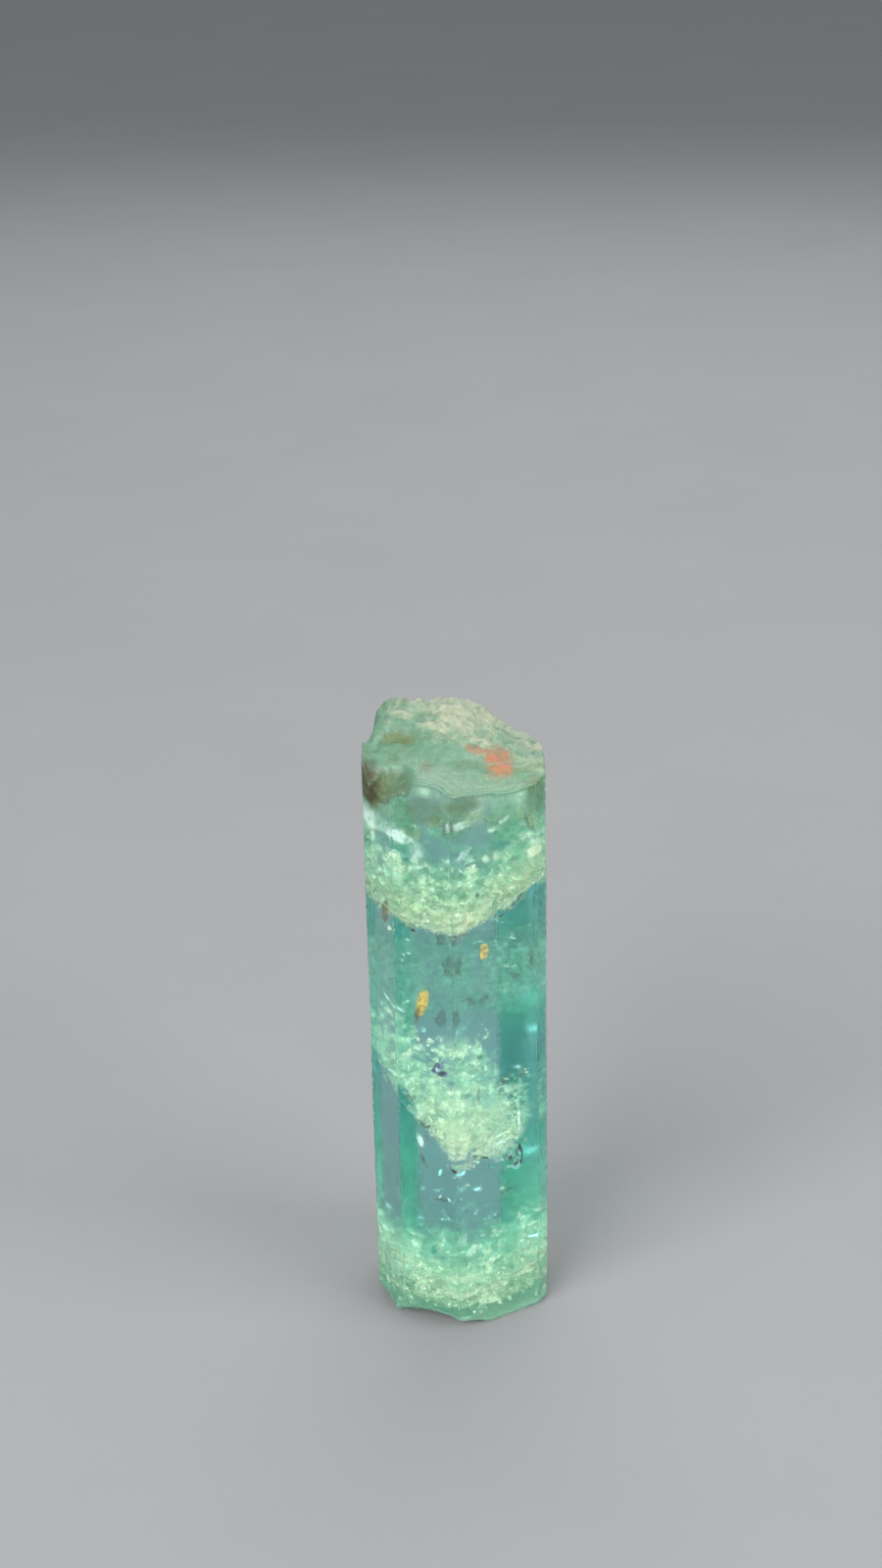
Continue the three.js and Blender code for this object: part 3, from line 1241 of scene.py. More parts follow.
@dataclass(frozen=True)
class Sheet:
    """A fracture right across the crystal, as a height over the plan.

    The height is that of a leaning plane plus a bowl and relief, from the sheet's own centre.

    Attributes:
        x: centre in plan.
        y: centre in plan.
        level: height of the centre.
        lean_x: rise towards +X for each millimetre.
        lean_y: rise towards +Y.
        bowl: how fast it curves up to both sides along X, per square millimetre.
        reach: radius in plan before it meets the faces.
        ragged: share of the radius that its edge wanders by.
        stops: straight breaks in plan, each by its bearing in degrees and distance from the axis.
        relief: height of its roughness.
        grain: roughness features in a millimetre.
        fullness: how densely a healed sheet is covered, from 0 to 1.
        seed: picks its own noise.
    """

    x: float
    y: float
    level: float
    lean_x: float = 0.0
    lean_y: float = 0.0
    bowl: float = 0.0
    reach: float = 9.0
    ragged: float = 0.1
    stops: Stops = ()
    relief: float = 0.1
    grain: float = 1.2
    fullness: float = 0.8
    seed: int = 1

    def height(self, dx: Array, dy: Array) -> Array:
        """Height of the leaning plane, plus the bowl, layered noise and crests.

        Args:
            dx: offsets from the centre, towards +X.
            dy: offsets towards +Y.

        Returns:
            The heights.
        """
        flat = flattened(dx, dy, self.seed)
        rough = layered(flat * self.grain, self.seed, 4)
        crests = ridges(flat * self.grain * 1.7, self.seed + 9)
        plane = self.level + self.lean_x * dx + self.lean_y * dy
        return plane + self.bowl * dx * dx + self.relief * (rough + 0.5 * crests)

    def grid(self, form: CrystalForm, rings: int, columns: int, margin: float) -> tuple[Array, Array]:
        """Rings of points from near the centre to the ragged edge.

        Along a bearing, the radius is the reach less what noise takes off it, cut short at the
        faces and at the stops, and the rings are evenly spaced along it.

        Args:
            form: the crystal that it must stay inside.
            rings: number of rings.
            columns: points in a ring.
            margin: gap left to the faces, in millimetres.

        Returns:
            The points, shape (rings, columns, 3), and the fraction of the way out of each ring.
        """
        bearing = full_turn(columns)
        around = flattened(np.cos(bearing), np.sin(bearing), self.seed * 1.7)
        wander = 1 - self.ragged * (0.5 + 0.5 * layered(around * 2.2, self.seed + 3, 4))
        room = form.room(np.array([self.x, self.y]), bearing, margin)
        radius = np.minimum(room, self.reach * wander)
        for side, gap in self.stops:
            ahead = np.cos(bearing - np.radians(side))
            left = gap - self.x * np.cos(np.radians(side)) - self.y * np.sin(np.radians(side))
            radius = np.minimum(radius, np.where(ahead > 0.02, left / np.maximum(ahead, 0.02), np.inf))
        fraction = (np.arange(rings) + 1) / rings
        dx = fraction[:, None] * radius * np.cos(bearing)
        dy = fraction[:, None] * radius * np.sin(bearing)
        return np.stack([self.x + dx, self.y + dy, self.height(dx, dy)], axis=-1), fraction

    def centre(self) -> Array:
        """The middle point of the sheet."""
        zero = np.zeros(1)
        return np.array([self.x, self.y, self.height(zero, zero)[0]])

    def veil(self, form: CrystalForm, rings: int = 44, columns: int = 120) -> Shell:
        """The sheet as an open surface. Its thickness varies, and fades at the edge.

        Args:
            form: the crystal that it must stay inside.
            rings: number of rings.
            columns: points in a ring.

        Returns:
            The open sheet.
        """
        points, fraction = self.grid(form, rings, columns, 0.06)
        flat = np.concatenate([points.reshape(-1, 3), self.centre()[None]])
        fade = np.append(np.repeat(1 - 0.5 * smooth(0.8, 1.0, fraction), columns), 1.0)
        patchy = 1 + 0.35 * layered(flat * 0.5, self.seed + 17, 2)
        faces = ring_faces(rings, columns)[:, ::-1]
        fan = fan_faces(rings * columns, 0, columns, True)
        return Shell(flat, faces, fan, {"thickness": np.clip(fade * patchy * self.fullness, 0, 1)})

    def hollow(self, form: CrystalForm, gap: float, rings: int = 46, columns: int = 110) -> Shell:
        """The sheet as islands of thin hollow, their faces looking in.

        A cell of the grid is part of an island where noise is high enough for the sheet's
        fullness. Points with an island all round them part by the gap, and all others are
        shared by roof and floor, so each island is closed.

        Args:
            form: the crystal that it must stay inside.
            gap: width of the hollow.
            rings: rings of the grid.
            columns: points in a ring.

        Returns:
            The closed hollows.
        """
        points, _ = self.grid(form, rings, columns, 0.12)
        middle = 0.25 * (points[1:] + points[:-1])
        middle = middle + np.roll(middle, -1, axis=1)
        wide = layered(middle * 0.9, self.seed + 21, 3) + 0.35 * noise(middle * 4.0, self.seed + 25)
        cells = wide > np.quantile(wide, 1 - self.fullness)
        framed = np.pad(cells, ((1, 1), (0, 0)))
        whole = framed[1:] & framed[:-1]
        whole = whole & np.roll(whole, 1, axis=1)
        lift = np.where(whole, 0.5 * gap, 0)[..., None] * np.array([0, 0, 1.0])
        number = np.arange(rings * columns).reshape(rings, columns)
        under = np.where(whole, number + rings * columns, number).reshape(-1)
        roof = ring_faces(rings, columns)[cells.reshape(-1)]
        quads = np.concatenate([roof, under[roof][:, ::-1]])
        both = np.concatenate([(points + lift).reshape(-1, 3), (points - lift).reshape(-1, 3)])
        used, index = np.unique(quads, return_inverse=True)
        values = {"crackle": np.ones(len(used))}
        return Shell(both[used], index.reshape(quads.shape), no_faces(3), values)


def sheet_axes(bearing: Array, rise: Array, spin: Array) -> tuple[Array, Array, Array]:
    """Unit vectors along the length, the width and the normal of sheets.

    Args:
        bearing: bearing of the normal, in degrees, one per sheet.
        rise: elevation of the normal, in degrees.
        spin: turn of the length about the normal, from level, in degrees.

    Returns:
        Length, width and normal, each of shape (..., 3).
    """
    bearing, rise, spin = (np.radians(np.asarray(angle, dtype=float)) for angle in (bearing, rise, spin))
    level = np.stack([-np.sin(bearing), np.cos(bearing), 0 * bearing], axis=-1)
    outward = np.stack([np.cos(bearing), np.sin(bearing), 0 * bearing], axis=-1)
    normal = outward * np.cos(rise)[..., None] + np.array([0, 0, 1.0]) * np.sin(rise)[..., None]
    length = level * np.cos(spin)[..., None] + np.cross(normal, level) * np.sin(spin)[..., None]
    return length, np.cross(normal, length), normal


def ragged_rings(
    centre: Array,
    size: Array,
    axes: tuple[Array, Array, Array],
    curl: Array,
    roughness: tuple[float, float],
    seed: Array,
    rings: int,
    columns: int,
) -> tuple[Array, Array]:
    """Rings of points on ragged, slightly curled sheets, many sheets at once.

    A point lies at a fraction of the ragged radius along its bearing in the sheet's own plane,
    and stands off the plane by the curl times that distance squared, plus noise.

    Args:
        centre: middles, shape (..., 3).
        size: half lengths and half widths, shape (..., 2).
        axes: what sheet_axes gives.
        curl: how far the edge bends towards the normal.
        roughness: share of the radius that the edge wanders by, and height of the relief.
        seed: a number of its own for each sheet.
        rings: number of rings.
        columns: points in a ring.

    Returns:
        The points, shape (..., rings, columns, 3), and the fraction of the way out of each ring.
    """
    ragged, relief = roughness
    bearing = full_turn(columns)
    mark = np.asarray(seed, dtype=float)[..., None] * 1.3 + 0 * bearing
    around = np.stack([np.cos(bearing) + 0 * mark, np.sin(bearing) + 0 * mark, mark], axis=-1)
    reach = 1 - ragged * (0.5 + 0.5 * layered(around * 1.9, 5, 4))
    fraction = (np.arange(rings) + 1) / rings
    out = fraction[:, None] * reach[..., None, :]
    u = out * np.cos(bearing) * size[..., 0, None, None]
    v = out * np.sin(bearing) * size[..., 1, None, None]
    flat = np.stack([u, v, mark[..., None, :] + 0 * u], axis=-1)
    off = curl[..., None, None] * out**2 + relief * layered(flat * 3.0, 9, 3)
    length, width, normal = (axis[..., None, None, :] for axis in axes)
    points = centre[..., None, None, :] + u[..., None] * length + v[..., None] * width
    return points + off[..., None] * normal, fraction


@dataclass(frozen=True)
class Patch:
    """A small sheet that lies at any angle.

    Attributes:
        centre: its middle.
        size: half length and half width.
        facing: bearing and elevation of its normal, in degrees.
        spin: turn of its length about the normal, from level, in degrees.
        curl: how far its edge bends out of the plane, towards the normal.
        ragged: share of its radius that the edge wanders by.
        relief: height of its roughness.
        fullness: how densely it is covered; above 1, the full part reaches further out.
        seed: picks its own noise.
    """

    centre: Triple
    size: tuple[float, float]
    facing: tuple[float, float]
    spin: float = 0.0
    curl: float = 0.0
    ragged: float = 0.5
    relief: float = 0.06
    fullness: float = 0.9
    seed: int = 1

    def axes(self) -> tuple[Array, Array, Array]:
        """Unit vectors along its length, along its width and along its normal."""
        return sheet_axes(*self.facing, self.spin)

    def grid(self, rings: int, columns: int) -> tuple[Array, Array]:
        """Rings of points from near the centre to the ragged edge.

        Args:
            rings: number of rings.
            columns: points in a ring.

        Returns:
            The points, shape (rings, columns, 3), and the fraction of the way out of each ring.
        """
        curl, seed = np.array(self.curl), np.array(self.seed)
        roughness = (self.ragged, self.relief)
        centre, size = np.array(self.centre), np.array(self.size)
        return ragged_rings(centre, size, self.axes(), curl, roughness, seed, rings, columns)

    def veil(self, rings: int = 14, columns: int = 36) -> Shell:
        """The patch as an open sheet that fades towards its edge.

        Args:
            rings: number of rings.
            columns: points in a ring.

        Returns:
            The open sheet.
        """
        points, fraction = self.grid(rings, columns)
        flat = np.concatenate([points.reshape(-1, 3), np.mean(points[0], axis=0)[None]])
        fade = np.append(np.repeat(1 - smooth(0.45, 1.0, fraction), columns), 1.0)
        faces = ring_faces(rings, columns)[:, ::-1]
        fan = fan_faces(rings * columns, 0, columns, True)
        return Shell(flat, faces, fan, {"thickness": fade * self.fullness})

    def plate(self, thickness: float, rings: int = 8, columns: int = 24) -> Shell:
        """The patch as a closed plate, thinner outwards by the fourth power of the way out.

        Args:
            thickness: its thickness in the middle.
            rings: number of rings.
            columns: points in a ring.

        Returns:
            The closed plate.
        """
        points, fraction = self.grid(rings, columns)
        half = 0.5 * thickness * (1 - np.append(0, fraction) ** 4)
        return lens(points, np.mean(points[0], axis=0), half, self.axes()[2])


@dataclass(frozen=True)
class Glint(Patch):
    """A dense, ragged patch with a firm edge, drawn white: partly pale fracture and partly a painted glint.
    """

    curl: float = 0.1
    ragged: float = 0.7
    relief: float = 0.15
    fullness: float = 1.6


@dataclass(frozen=True)
class Haze(Patch):
    """A broad, uneven patch."""

    curl: float = 0.4
    ragged: float = 0.5
    relief: float = 0.3
    fullness: float = 1.0


@dataclass(frozen=True)
class Flame(Patch):
    """A full patch with a fairly even edge."""

    ragged: float = 0.3
    fullness: float = 1.0


@dataclass(frozen=True)
class Smudge(Patch):
    """A patch with a very ragged edge."""

    curl: float = 0.1
    ragged: float = 0.95
    relief: float = 0.2
    fullness: float = 1.2


def veiled(patches: Sequence[Patch]) -> Shell:
    """Several patches as one shell of open sheets."""
    return joined([patch.veil() for patch in patches], ["thickness"])


@dataclass
class OpenFractures:
    """Air-filled cracks: hollows in the crystal's own mesh, whose faces look into the gap.

    Attributes:
        form: the crystal's outer shape.
        sheets: cracks right across it.
        gap: their width at the middle.
        flakes: number of small cracks tried for.
        levels: height, spread and share of the small cracks of each cloudy level.
        flake_radii: least and greatest radius that a small crack's is worked out from.
        side_gap: least gap between a small crack and the long faces.
        top_gap: the same below the top.
        foot_gap: the same above the foot.
    """

    form: CrystalForm
    sheets: tuple[Sheet, ...] = (
        Sheet(0.2, 0.0, 25.1, 0.16, 0.0, 0.072, ragged=0.12, relief=0.3, fullness=0.25, seed=101),
        Sheet(-0.6, 0.3, 13.5, -0.55, 0.46, 0.0, ragged=0.15, stops=((0.0, 3.3), (50.0, 1.3), (200.0, 3.1)),
              relief=0.3, fullness=0.3, seed=131),
        Sheet(0.0, 0.6, 1.8, 0.0, 0.05, 0.02, reach=4.6, ragged=0.2, relief=0.2, fullness=0.25, seed=155),
    )
    gap: float = 0.04
    flakes: int = 260
    levels: tuple[Triple, ...] = (
        (30.8, 1.3, 0.06),
        (25.6, 0.8, 0.25),
        (22.5, 2.6, 0.10),
        (13.2, 1.4, 0.27),
        (6.0, 2.2, 0.20),
        (17.0, 9.0, 0.12),
    )
    flake_radii: tuple[float, float] = (0.07, 0.42)
    side_gap: float = 0.15
    top_gap: float = 2.2
    foot_gap: float = 1.6

    def clear_of_all(self, centres: Array, reach: Array) -> Array:
        """Which of the small cracks touch neither the faces, the sheets nor an earlier one.

        Args:
            centres: middle of each, shape (n, 3).
            reach: radius of the ball that holds each, shape (n,).

        Returns:
            True for each that may stay.
        """
        n, r = self.form.normals()
        fits = (r - centres[:, :2] @ n.T).min(axis=-1) > reach + self.side_gap
        fits &= centres[:, 2] < self.form.swell(centres[:, 0], centres[:, 1]) - self.top_gap - reach
        fits &= centres[:, 2] > self.foot_gap + reach
        for sheet in self.sheets:
            above = centres[:, 2] - sheet.height(centres[:, 0] - sheet.x, centres[:, 1] - sheet.y)
            fits &= np.abs(above) > 1.35 * reach + 0.2
        apart = np.linalg.norm(centres[:, None] - centres[None], axis=-1)
        near = apart < reach[:, None] + reach[None]
        return fits & ~np.tril(near, -1).any(axis=1)

    def scattered(self, count: int, rng: np.random.Generator) -> Array:
        """Random middles: most lie round the cloudy levels, the rest anywhere.

        Args:
            count: how many.
            rng: where the draws come from.

        Returns:
            The middles, shape (count, 3).
        """
        levels, spread, share = np.array(self.levels).T
        which = rng.choice(len(levels), count, p=share)
        z = levels[which] + spread[which] * rng.standard_normal(count)
        return np.stack([rng.uniform(-5, 5, count), rng.uniform(-5.5, 5.5, count), z], axis=-1)

    def small_cracks(self) -> Shell:
        """Flakes that lie near level, and a few steep ones, as ragged eight-sided lenses.

        Returns:
            The closed hollows, as one shell.
        """
        rng = np.random.default_rng(7)
        centres = self.scattered(self.flakes * 3, rng)
        radii = rng.uniform(*self.flake_radii, (len(centres), 1)) ** 1.3
        radii = radii * rng.uniform(0.5, 1.6, (len(centres), 2))
        fits = self.clear_of_all(centres, radii.max(axis=1) * 1.2)
        centres, radii = centres[fits][: self.flakes], radii[fits][: self.flakes]
        lean = np.where(rng.random(len(centres)) < 0.75, 0.45, 2.5)[:, None]
        axis = np.array([0, 0.1, 1.0]) + lean * rng.standard_normal((len(centres), 3))
        axis /= np.linalg.norm(axis, axis=-1, keepdims=True)
        return spindles(centres, axis, 0.012 + 0.05 * radii.min(axis=1), radii, 8, 201).flipped()

    def hollows(self) -> Shell:
        """All the cracks, as one shell."""
        across = [s.hollow(self.form, self.gap) for s in self.sheets]
        return joined([*across, self.small_cracks()], ["crackle"])


@dataclass(frozen=True)
class Swarm:
    """Many small sheets scattered along a leaning level, most of them turned up and outwards.

    Attributes:
        count: how many.
        level: mean height on the axis.
        lean_x: rise of the level towards +X for each millimetre.
        lean_y: rise of the level towards +Y.
        bowl: how fast the level curves up to both sides along X, per square millimetre.
        tall: how far they reach above the level, thinning out upwards.
        size: smallest and largest half length.
        reach: largest distance from the axis along X and Y.
        fullness: smallest and largest fullness.
        seed: picks its own draws.
        stops: straight breaks in plan, each by its bearing in degrees and distance from the axis.
        depth: how far in from the faces they lie at most.
        ceiling: height that none reaches.
    """

    count: int
    level: float
    lean_x: float
    lean_y: float
    bowl: float
    tall: float
    size: tuple[float, float]
    reach: tuple[float, float]
    fullness: tuple[float, float]
    seed: int
    stops: Stops = ()
    depth: float = 9.0
    ceiling: float = 99.0

    def veil(self, form: CrystalForm, rings: int = 4, columns: int = 11) -> Shell:
        """The small sheets that lie inside the crystal, each fading towards its edge.

        Places in plan are drawn evenly. The height above the level and the length are powers of
        an even draw, so low and short sheets are commoner. Each faces away from the axis, give or
        take a normal spread, and more or less upwards.

        Args:
            form: the crystal that they must stay inside.
            rings: rings of each.
            columns: points in a ring.

        Returns:
            The open sheets, as one shell.
        """
        rng = np.random.default_rng(self.seed)
        x = rng.uniform(-1, 1, self.count) * self.reach[0]
        y = rng.uniform(-1, 1, self.count) * self.reach[1]
        z = self.level + self.lean_x * x + self.lean_y * y + self.bowl * x * x
        z += self.tall * rng.random(self.count) ** 1.4
        small, large = self.size
        length = small + (large - small) * rng.random(self.count) ** 1.8
        width = length * rng.uniform(0.4, 0.9, self.count)
        bearing = np.degrees(np.arctan2(y - 1.0, x)) + 50 * rng.standard_normal(self.count)
        rise = rng.uniform(5, 75, self.count)
        spin = 40 * rng.standard_normal(self.count)
        full = rng.uniform(*self.fullness, self.count)
        inset = form.inset(x, y)
        fits = (inset > 0.8 * length + 0.1) & (inset < self.depth + length)
        fits &= (z - 0.7 * length > form.foot(x, y) + 0.1) & (z + 0.8 * length < form.top(x, y) - 0.3)
        fits &= z < self.ceiling
        for side, gap in self.stops:
            fits &= x * np.cos(np.radians(side)) + y * np.sin(np.radians(side)) < gap
        bearing, rise, spin, full, length, width = (
            values[fits] for values in (bearing, rise, spin, full, length, width)
        )
        centre = np.stack([x, y, z], axis=-1)[fits]
        size = np.stack([length, width], axis=-1)
        axes = sheet_axes(bearing, rise, spin)
        points, fraction = ragged_rings(
            centre, size, axes, 0.3 * length, (0.9, 0.15), self.seed + np.arange(len(full)), rings, columns
        )
        each = rings * columns
        fade = np.append(np.repeat(1 - smooth(0.15, 1.0, fraction), columns), 1.0)
        flat = np.concatenate([points.reshape(-1, each, 3), centre[:, None]], axis=1)
        start = (np.arange(len(full)) * (each + 1))[:, None, None]
        faces = start + ring_faces(rings, columns)[:, ::-1]
        fans = start + fan_faces(each, 0, columns, True)
        thickness = (full[:, None] * fade).reshape(-1)
        return Shell(
            flat.reshape(-1, 3), faces.reshape(-1, 4), fans.reshape(-1, 3), {"thickness": thickness}
        )


@dataclass
class HealedFractures:
    """Pale sheets of trapped bubbles, in clouds at four levels.

    Attributes:
        form: the crystal's outer shape.
        upper: the upper cloud, a trough.
        lower: the lower cloud, which leans up to the left and the back.
        base: the cloud at the foot.
        grains: small sheets scattered through the clouds.
        rinds: small sheets of the clouds just inside the faces.
        crown_rind: faint small sheets just inside the faces under the rim.
        crown: small sheets under the top.
        middle: wisps in the clear stretch between the clouds.
        bright: the whitest sheets, partly pale fracture and partly painted glints of mirror-like cracks.
        sparks: places of small white flakes, partly painted glints.
        crown_haze: broad faint sheets under the top.
        middle_haze: broad faint sheets between the clouds.
    """

    form: CrystalForm
    upper: tuple[Sheet, ...] = (
        Sheet(0.2, 0.0, 25.45, 0.16, 0.0, 0.072, ragged=0.12, relief=0.5, grain=1.3, fullness=1.0, seed=301),
        Sheet(0.2, 0.1, 26.1, 0.15, 0.0, 0.07, ragged=0.2, relief=0.6, grain=1.2, fullness=0.8, seed=305),
        Sheet(0.2, 0.3, 27.0, 0.12, 0.0, 0.06, ragged=0.3, relief=0.6, grain=1.1, fullness=0.55, seed=311),
    )
    lower: tuple[Sheet, ...] = (
        Sheet(-0.6, 0.3, 13.8, -0.55, 0.46, 0.0, ragged=0.15, stops=((0.0, 3.35), (50.0, 1.4), (200.0, 3.2)),
              relief=0.5, grain=1.3, fullness=0.7, seed=331),
        Sheet(-0.5, 0.3, 14.4, -0.52, 0.44, 0.0, ragged=0.25, stops=((0.0, 3.3), (50.0, 1.3), (200.0, 3.0)),
              relief=0.6, grain=1.2, fullness=0.6, seed=335),
        Sheet(-0.4, 0.3, 15.2, -0.50, 0.40, 0.0, ragged=0.4, stops=((0.0, 3.1), (50.0, 1.2), (200.0, 3.0)),
              relief=0.6, grain=1.1, fullness=0.5, seed=341),
    )
    base: tuple[Sheet, ...] = (
        Sheet(0.0, 0.0, 2.9, 0.0, 0.06, 0.05, ragged=0.3, relief=0.6, grain=1.1, fullness=0.7, seed=351),
        Sheet(0.0, 0.0, 2.0, 0.0, 0.04, 0.03, ragged=0.2, relief=0.5, grain=1.1, fullness=0.85, seed=355),
        Sheet(0.0, 0.6, 0.9, 0.0, 0.02, 0.0, ragged=0.1, reach=4.6, relief=0.2, grain=1.3, fullness=0.9,
              seed=361),
    )
    grains: tuple[Swarm, ...] = (
        Swarm(60, 29.6, 0.0, 0.0, 0.0, 2.4, (0.2, 0.6), (4.2, 4.6), (0.3, 0.6), 1000),
        Swarm(700, 25.3, 0.16, 0.0, 0.072, 2.6, (0.2, 1.2), (4.8, 5.3), (0.5, 1.0), 2000),
        Swarm(60, 18.5, 0.0, 0.0, 0.0, 6.0, (0.15, 0.5), (4.2, 4.6), (0.3, 0.6), 3000),
        Swarm(700, 14.0, -0.55, 0.45, 0.0, 2.2, (0.2, 1.2), (3.5, 5.3), (0.5, 1.0), 4000,
              stops=((0.0, 3.2), (50.0, 1.3), (200.0, 3.1))),
        Swarm(700, 0.3, 0.0, 0.06, 0.05, 3.5, (0.15, 1.1), (4.8, 5.3), (0.5, 1.0), 5000),
    )
    rinds: tuple[Swarm, ...] = (
        Swarm(1700, 25.3, 0.16, 0.0, 0.072, 4.0, (0.35, 1.4), (4.9, 5.6), (0.8, 1.7), 6000, depth=1.6),
        Swarm(5200, 11.4, -0.5, 0.0, 0.36, 7.5, (0.35, 1.2), (4.9, 5.6), (0.6, 1.5), 7000,
              stops=((0.0, 1.1), (180.0, 2.8), (90.0, 1.0)), depth=1.8, ceiling=18.6),
        Swarm(6000, 11.3, -0.3, 0.0, 0.1, 3.4, (0.3, 0.9), (4.9, 5.6), (0.3, 1.0), 8000,
              stops=((0.0, 3.1), (180.0, -1.0), (90.0, 2.0)), depth=1.8, ceiling=15.0),
        Swarm(1500, 0.4, 0.1, 0.0, 0.03, 5.0, (0.3, 1.3), (4.9, 5.6), (0.7, 1.6), 9000, depth=1.6),
        Swarm(1600, 0.15, 0.0, 0.0, 0.0, 1.5, (0.12, 0.5), (4.9, 5.6), (0.8, 1.6), 9900, depth=0.9),
    )
    crown_rind: Swarm = Swarm(
        420, 29.6, 0.0, 0.0, 0.0, 3.4, (0.3, 1.2), (4.9, 5.6), (0.3, 0.9), 9500, depth=1.4
    )
    crown: tuple[Patch, ...] = (
        Patch((4.0, -2.2, 29.0), (0.7, 0.6), (300, 40), 20, curl=0.1, fullness=1.2, seed=411),
    )
    middle: tuple[Patch, ...] = (
        Patch((-3.2, -1.6, 19.3), (1.6, 0.5), (240, 55), -30, curl=0.1, fullness=0.7, seed=421),
        Patch((2.6, -2.6, 22.4), (1.5, 0.4), (300, 50), -25, curl=0.1, fullness=0.6, seed=423),
        Patch((-3.3, -2.8, 24.8), (0.4, 0.35), (235, 20), 0, curl=0.1, fullness=1.0, seed=427),
    )
    # partly painted glints: white sheets where cracks would shine like mirrors
    bright: tuple[Patch, ...] = (
        Glint((-4.15, -1.1, 30.9), (1.9, 1.15), (190, 12), -8, curl=0.0, ragged=0.4, relief=0.1,
              fullness=2.0, seed=601),
        Glint((-4.0, -0.9, 30.7), (1.8, 1.0), (192, 30), -12, curl=0.0, ragged=0.5, relief=0.1, seed=604),
        Glint((-3.3, -1.3, 30.7), (1.9, 1.0), (225, 40), -14, ragged=0.5, seed=602),
        Glint((-2.7, -3.1, 30.5), (1.5, 0.75), (250, 30), -16, ragged=0.6, seed=603),
        Glint((-1.9, -3.6, 29.8), (1.0, 1.2), (250, 20), 30, ragged=0.9, relief=0.2, fullness=0.6, seed=407),
        Glint((0.2, -4.2, 29.8), (0.5, 1.3), (270, 30), -45, ragged=0.9, relief=0.2, fullness=0.7, seed=409),
        Glint((0.2, -4.2, 31.6), (1.4, 0.5), (262, 30), 16, seed=605),
        Glint((0.9, -4.1, 32.2), (0.7, 0.3), (275, 30), 20, seed=607),
        Glint((1.9, -3.5, 30.95), (0.9, 0.3), (290, 30), 14, seed=609),
        Glint((2.5, -3.1, 31.35), (0.8, 0.3), (295, 30), 22, fullness=2.0, seed=611),
        Glint((-3.3, -2.4, 20.2), (1.7, 0.16), (240, 20), -30, ragged=0.6, seed=612),
        Glint((-2.1, -3.7, 12.0), (0.75, 0.32), (255, 15), -72, ragged=0.4, relief=0.06, seed=613),
        Glint((1.9, -3.6, 12.0), (1.3, 0.16), (285, 40), 16, ragged=0.4, relief=0.06, seed=615),
        Glint((2.1, -3.4, 11.5), (1.2, 0.14), (285, 40), 18, ragged=0.4, relief=0.06, seed=617),
        Glint((3.15, -3.0, 13.0), (1.5, 0.16), (300, 10), 88, ragged=0.3, relief=0.06, seed=619),
    )
    # places of small white flakes that partly stand for painted glints
    sparks: tuple[Triple, ...] = (
        (-2.93, -2.44, 23.0),
        (-2.89, -2.52, 20.5),
        (1.75, -3.1, 24.2),
        (2.53, -2.56, 24.0),
        (-0.17, -4.66, 9.4),
        (-0.63, -4.54, 8.6),
        (2.19, -3.3, 8.5),
        (-0.49, -4.84, 7.1),
        (2.49, -3.12, 15.6),
        (3.61, -2.47, 15.8),
        (-2.8, -3.28, 24.3),
        (2.05, -2.84, 25.2),
    )
    crown_haze: tuple[Patch, ...] = (
        Haze((-2.0, 1.6, 30.4), (3.2, 2.2), (265, 25), 0, curl=0.6, ragged=0.4, relief=0.4, seed=413),
        Haze((1.8, 1.8, 30.0), (2.8, 2.2), (280, 20), 0, ragged=0.4, relief=0.4, seed=415),
        Haze((0.2, -1.6, 31.0), (3.0, 1.2), (270, 35), 5, fullness=0.7, seed=417),
        Haze((-0.2, 0.2, 29.4), (3.4, 1.6), (270, 30), -5, fullness=0.6, seed=419),
    )
    middle_haze: tuple[Patch, ...] = (
        Haze((0.0, 3.4, 20.4), (4.4, 5.2), (270, 5), 0, curl=0.9, ragged=0.2, relief=0.5, seed=431),
        Haze((-2.0, 1.4, 20.6), (3.2, 4.4), (258, 8), 0, curl=0.5, ragged=0.3, relief=0.4, seed=433),
        Haze((2.0, 1.0, 21.2), (3.0, 4.2), (282, 10), 0, curl=0.5, ragged=0.3, relief=0.4, seed=435),
        Haze((0.0, -1.2, 21.6), (3.6, 2.6), (270, 20), 5, ragged=0.4, fullness=0.75, seed=437),
        Haze((-2.4, -1.6, 18.6), (1.8, 1.6), (250, 20), -30, curl=0.3, fullness=0.7, seed=439),
        Haze((0.2, 2.6, 10.0), (3.6, 2.6), (270, 10), 0, curl=0.5, relief=0.4, fullness=0.45, seed=441),
    )

    def spark_flakes(self) -> Shell:
        """The bright sheets, and three small flakes round each spark's place: partly painted glints.

        Returns:
            The open sheets, as one shell.
        """
        rng = np.random.default_rng(17)
        sheets = [patch.veil() for patch in self.bright]
        for place in np.repeat(np.array(self.sparks), 3, axis=0):
            centre = tuple(place + 0.28 * rng.standard_normal(3))
            size = (rng.uniform(0.2, 0.5), rng.uniform(0.1, 0.25))
            facing = (270 + 40 * rng.standard_normal(), rng.uniform(10, 60))
            spin = 40 * rng.standard_normal()
            flake = Glint(centre, size, facing, spin, 0.05, 0.85, 0.1, 1.5, seed=len(sheets))
            sheets.append(flake.veil(5, 14))
        return joined(sheets, ["thickness"])

    def cloud(self, sheets: Sequence[Sheet | Swarm]) -> Shell:
        """Several broad sheets or swarms as one shell."""
        return joined([sheet.veil(self.form) for sheet in sheets], ["thickness"])

